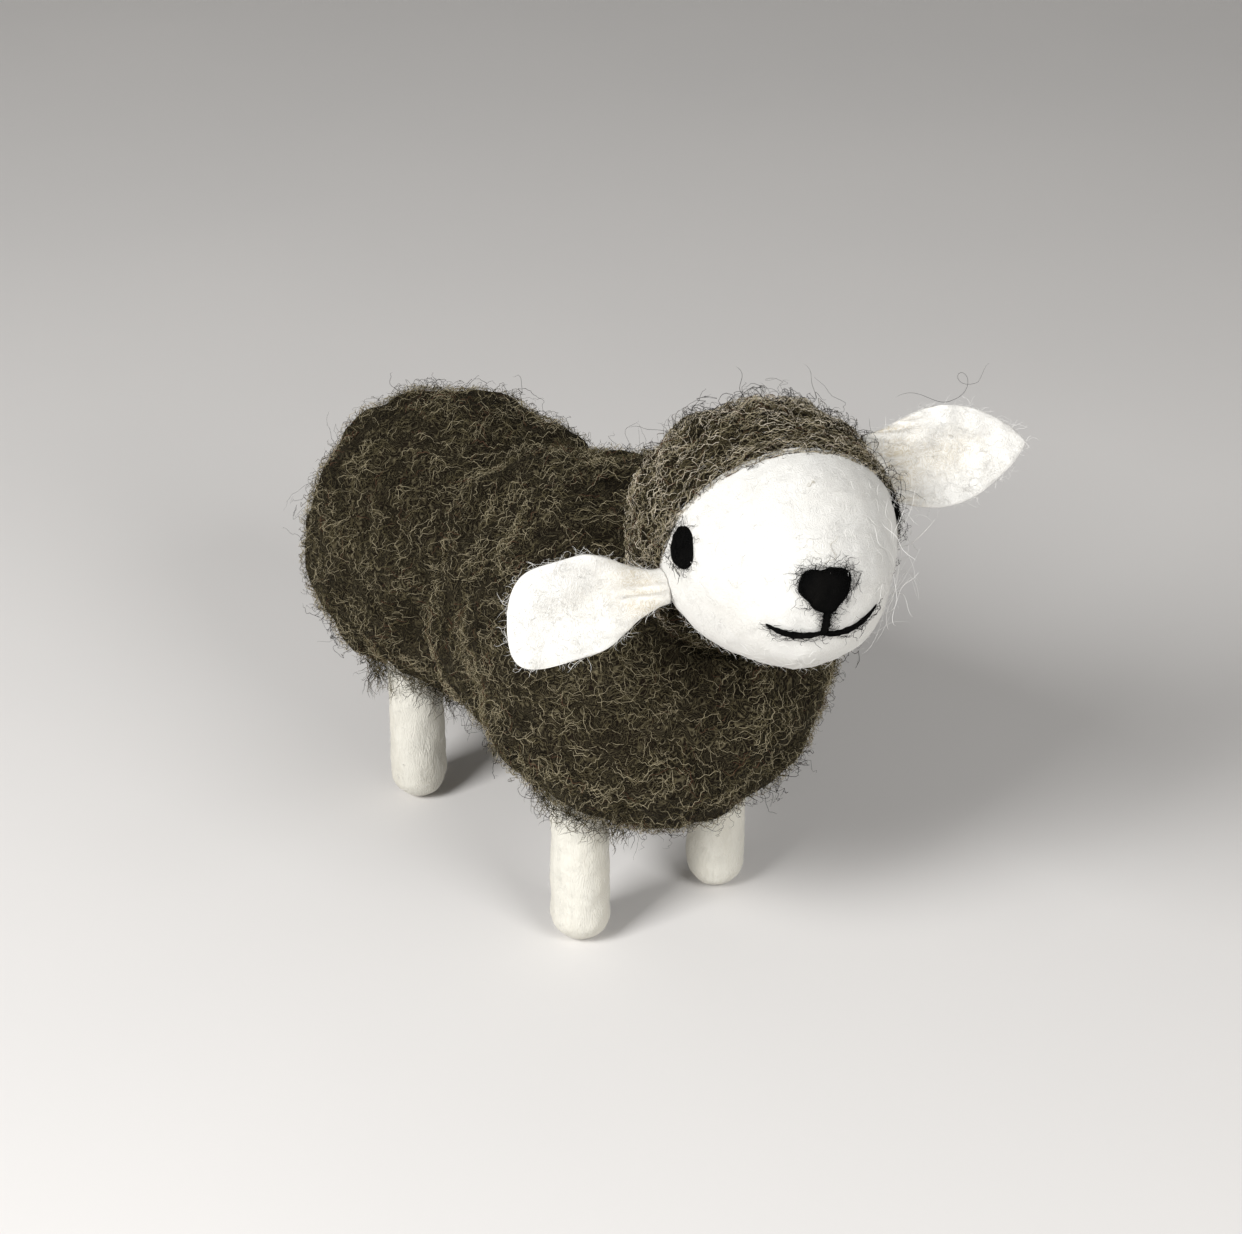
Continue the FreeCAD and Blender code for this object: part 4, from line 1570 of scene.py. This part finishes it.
@dataclass
class Studio:
    """A pale sweep, soft lights and the camera.

    Attributes:
        azimuth: the camera's turn about the upright, in degrees.
        elevation: how far it looks down, in degrees.
        distance: from the point that it aims at, in metres.
        lens: in millimetres.
    """

    azimuth: float = -34.3
    elevation: float = 30.0
    distance: float = 0.437
    lens: float = 84.4
    aim: tuple[float, float, float] = (0.01818, 0.01804, 0.02778)
    world_strength: float = 0.18

    def __post_init__(self) -> None:
        """The level direction that the camera looks in, and the direction to its right."""
        turn = math.radians(self.azimuth)
        self.ahead = around(turn, BACK, -LEFT)
        self.right = around(turn, LEFT, BACK)

    def build(self) -> None:
        """Makes the sweep, the lights, the even light round them and the camera."""
        self.sweep()
        for lamp in LAMPS:
            self.hang(lamp)
        world = bpy.data.worlds.new("studio")
        world.use_nodes = True
        background = world.node_tree.nodes["Background"]
        background.inputs["Color"].default_value = rgba(1.0, 0.99, 0.97)
        background.inputs["Strength"].default_value = self.world_strength
        bpy.context.scene.world = world
        bpy.context.scene.view_settings.view_transform = "Standard"
        self.camera()

    def camera(self) -> None:
        """Puts the camera at its distance from what it looks at."""
        tilt = math.radians(self.elevation)
        camera = bpy.data.objects.new("camera", bpy.data.cameras.new("camera"))
        bpy.context.scene.collection.objects.link(camera)
        camera.location = np.array(self.aim) - self.distance * around(tilt, self.ahead, -UP)
        camera.rotation_euler = (math.pi / 2 - tilt, 0, math.radians(self.azimuth))
        camera.data.lens = self.lens
        camera.data.sensor_width = 36.0
        camera.data.clip_start = 0.01
        bpy.context.scene.camera = camera

    def hang(self, lamp: Lamp) -> None:
        """Hangs a lamp so that it looks at the figure's middle."""
        middle = Vector((0, 0, 0.04))
        light = bpy.data.lights.new(lamp.name, "AREA")
        light.size = lamp.size
        light.energy = lamp.power
        piece = bpy.data.objects.new(lamp.name, light)
        piece.location = lamp.ahead * self.ahead + lamp.right * self.right + lamp.height * UP
        piece.rotation_euler = (piece.location - middle).to_track_quat("Z", "Y").to_euler()
        bpy.context.scene.collection.objects.link(piece)

    def sweep(self) -> None:
        """Floor and wall in one sheet: a flat stretch, a quarter circle and an upright stretch."""
        bend, start, high, back, aside, steps = 0.35, 0.55, 1.4, -4.0, 4.0, 24
        angle = np.linspace(0, math.pi / 2, steps)
        out = np.concatenate([[back, 0.0], start + bend * np.sin(angle), [start + bend]])
        up = np.concatenate([[0.0, 0.0], bend * (1 - np.cos(angle)), [high]])
        side = np.array([-aside, aside])
        grid = (out[:, None, None] * self.ahead + up[:, None, None] * UP
                + side[None, :, None] * self.right)
        number = np.arange(grid.shape[0] * 2).reshape(-1, 2)
        quads = np.stack([number[:-1, 0], number[:-1, 1], number[1:, 1], number[1:, 0]], -1)
        sheet = mesh_object("sweep", grid.reshape(-1, 3), [quads])
        sheet.data.materials.append(PaperFinish("paper").material())


def main() -> None:
    """Builds the sheep piece by piece, then the studio."""
    wardrobe = Wardrobe()
    place = HeadFrame()
    legs = [Leg(wardrobe, name, 80 + 10 * k) for k, name in enumerate(
        ("front_right", "front_left", "rear_right", "rear_left"))]
    Torso(wardrobe, place.pivot, [leg.hip for leg in legs]).build()
    Head(wardrobe, place).build()
    right_ear = Ear(wardrobe, place, "right_ear", (-22.2, -2.9, -1.8), Tip.BLUNT, 130,
                    raised=-1.0 * MM, slant=0.22)
    left_ear = Ear(wardrobe, place, "left_ear", (22.2, -2.9, 0.4), Tip.POINTED, 140,
                   root_half_width=4.4 * MM, widest=0.46, hollow=1.1 * MM, raised=0.5 * MM,
                   half_width=6.5 * MM)
    Hood(wardrobe, place, {ear.name: ear.reach for ear in (right_ear, left_ear)}).build()
    right_ear.build()
    left_ear.build()
    left_ear.stray_thread()
    for leg in legs:
        leg.build()
    Insides().dress()
    Studio().build()


if __name__ == "__main__":
    main()
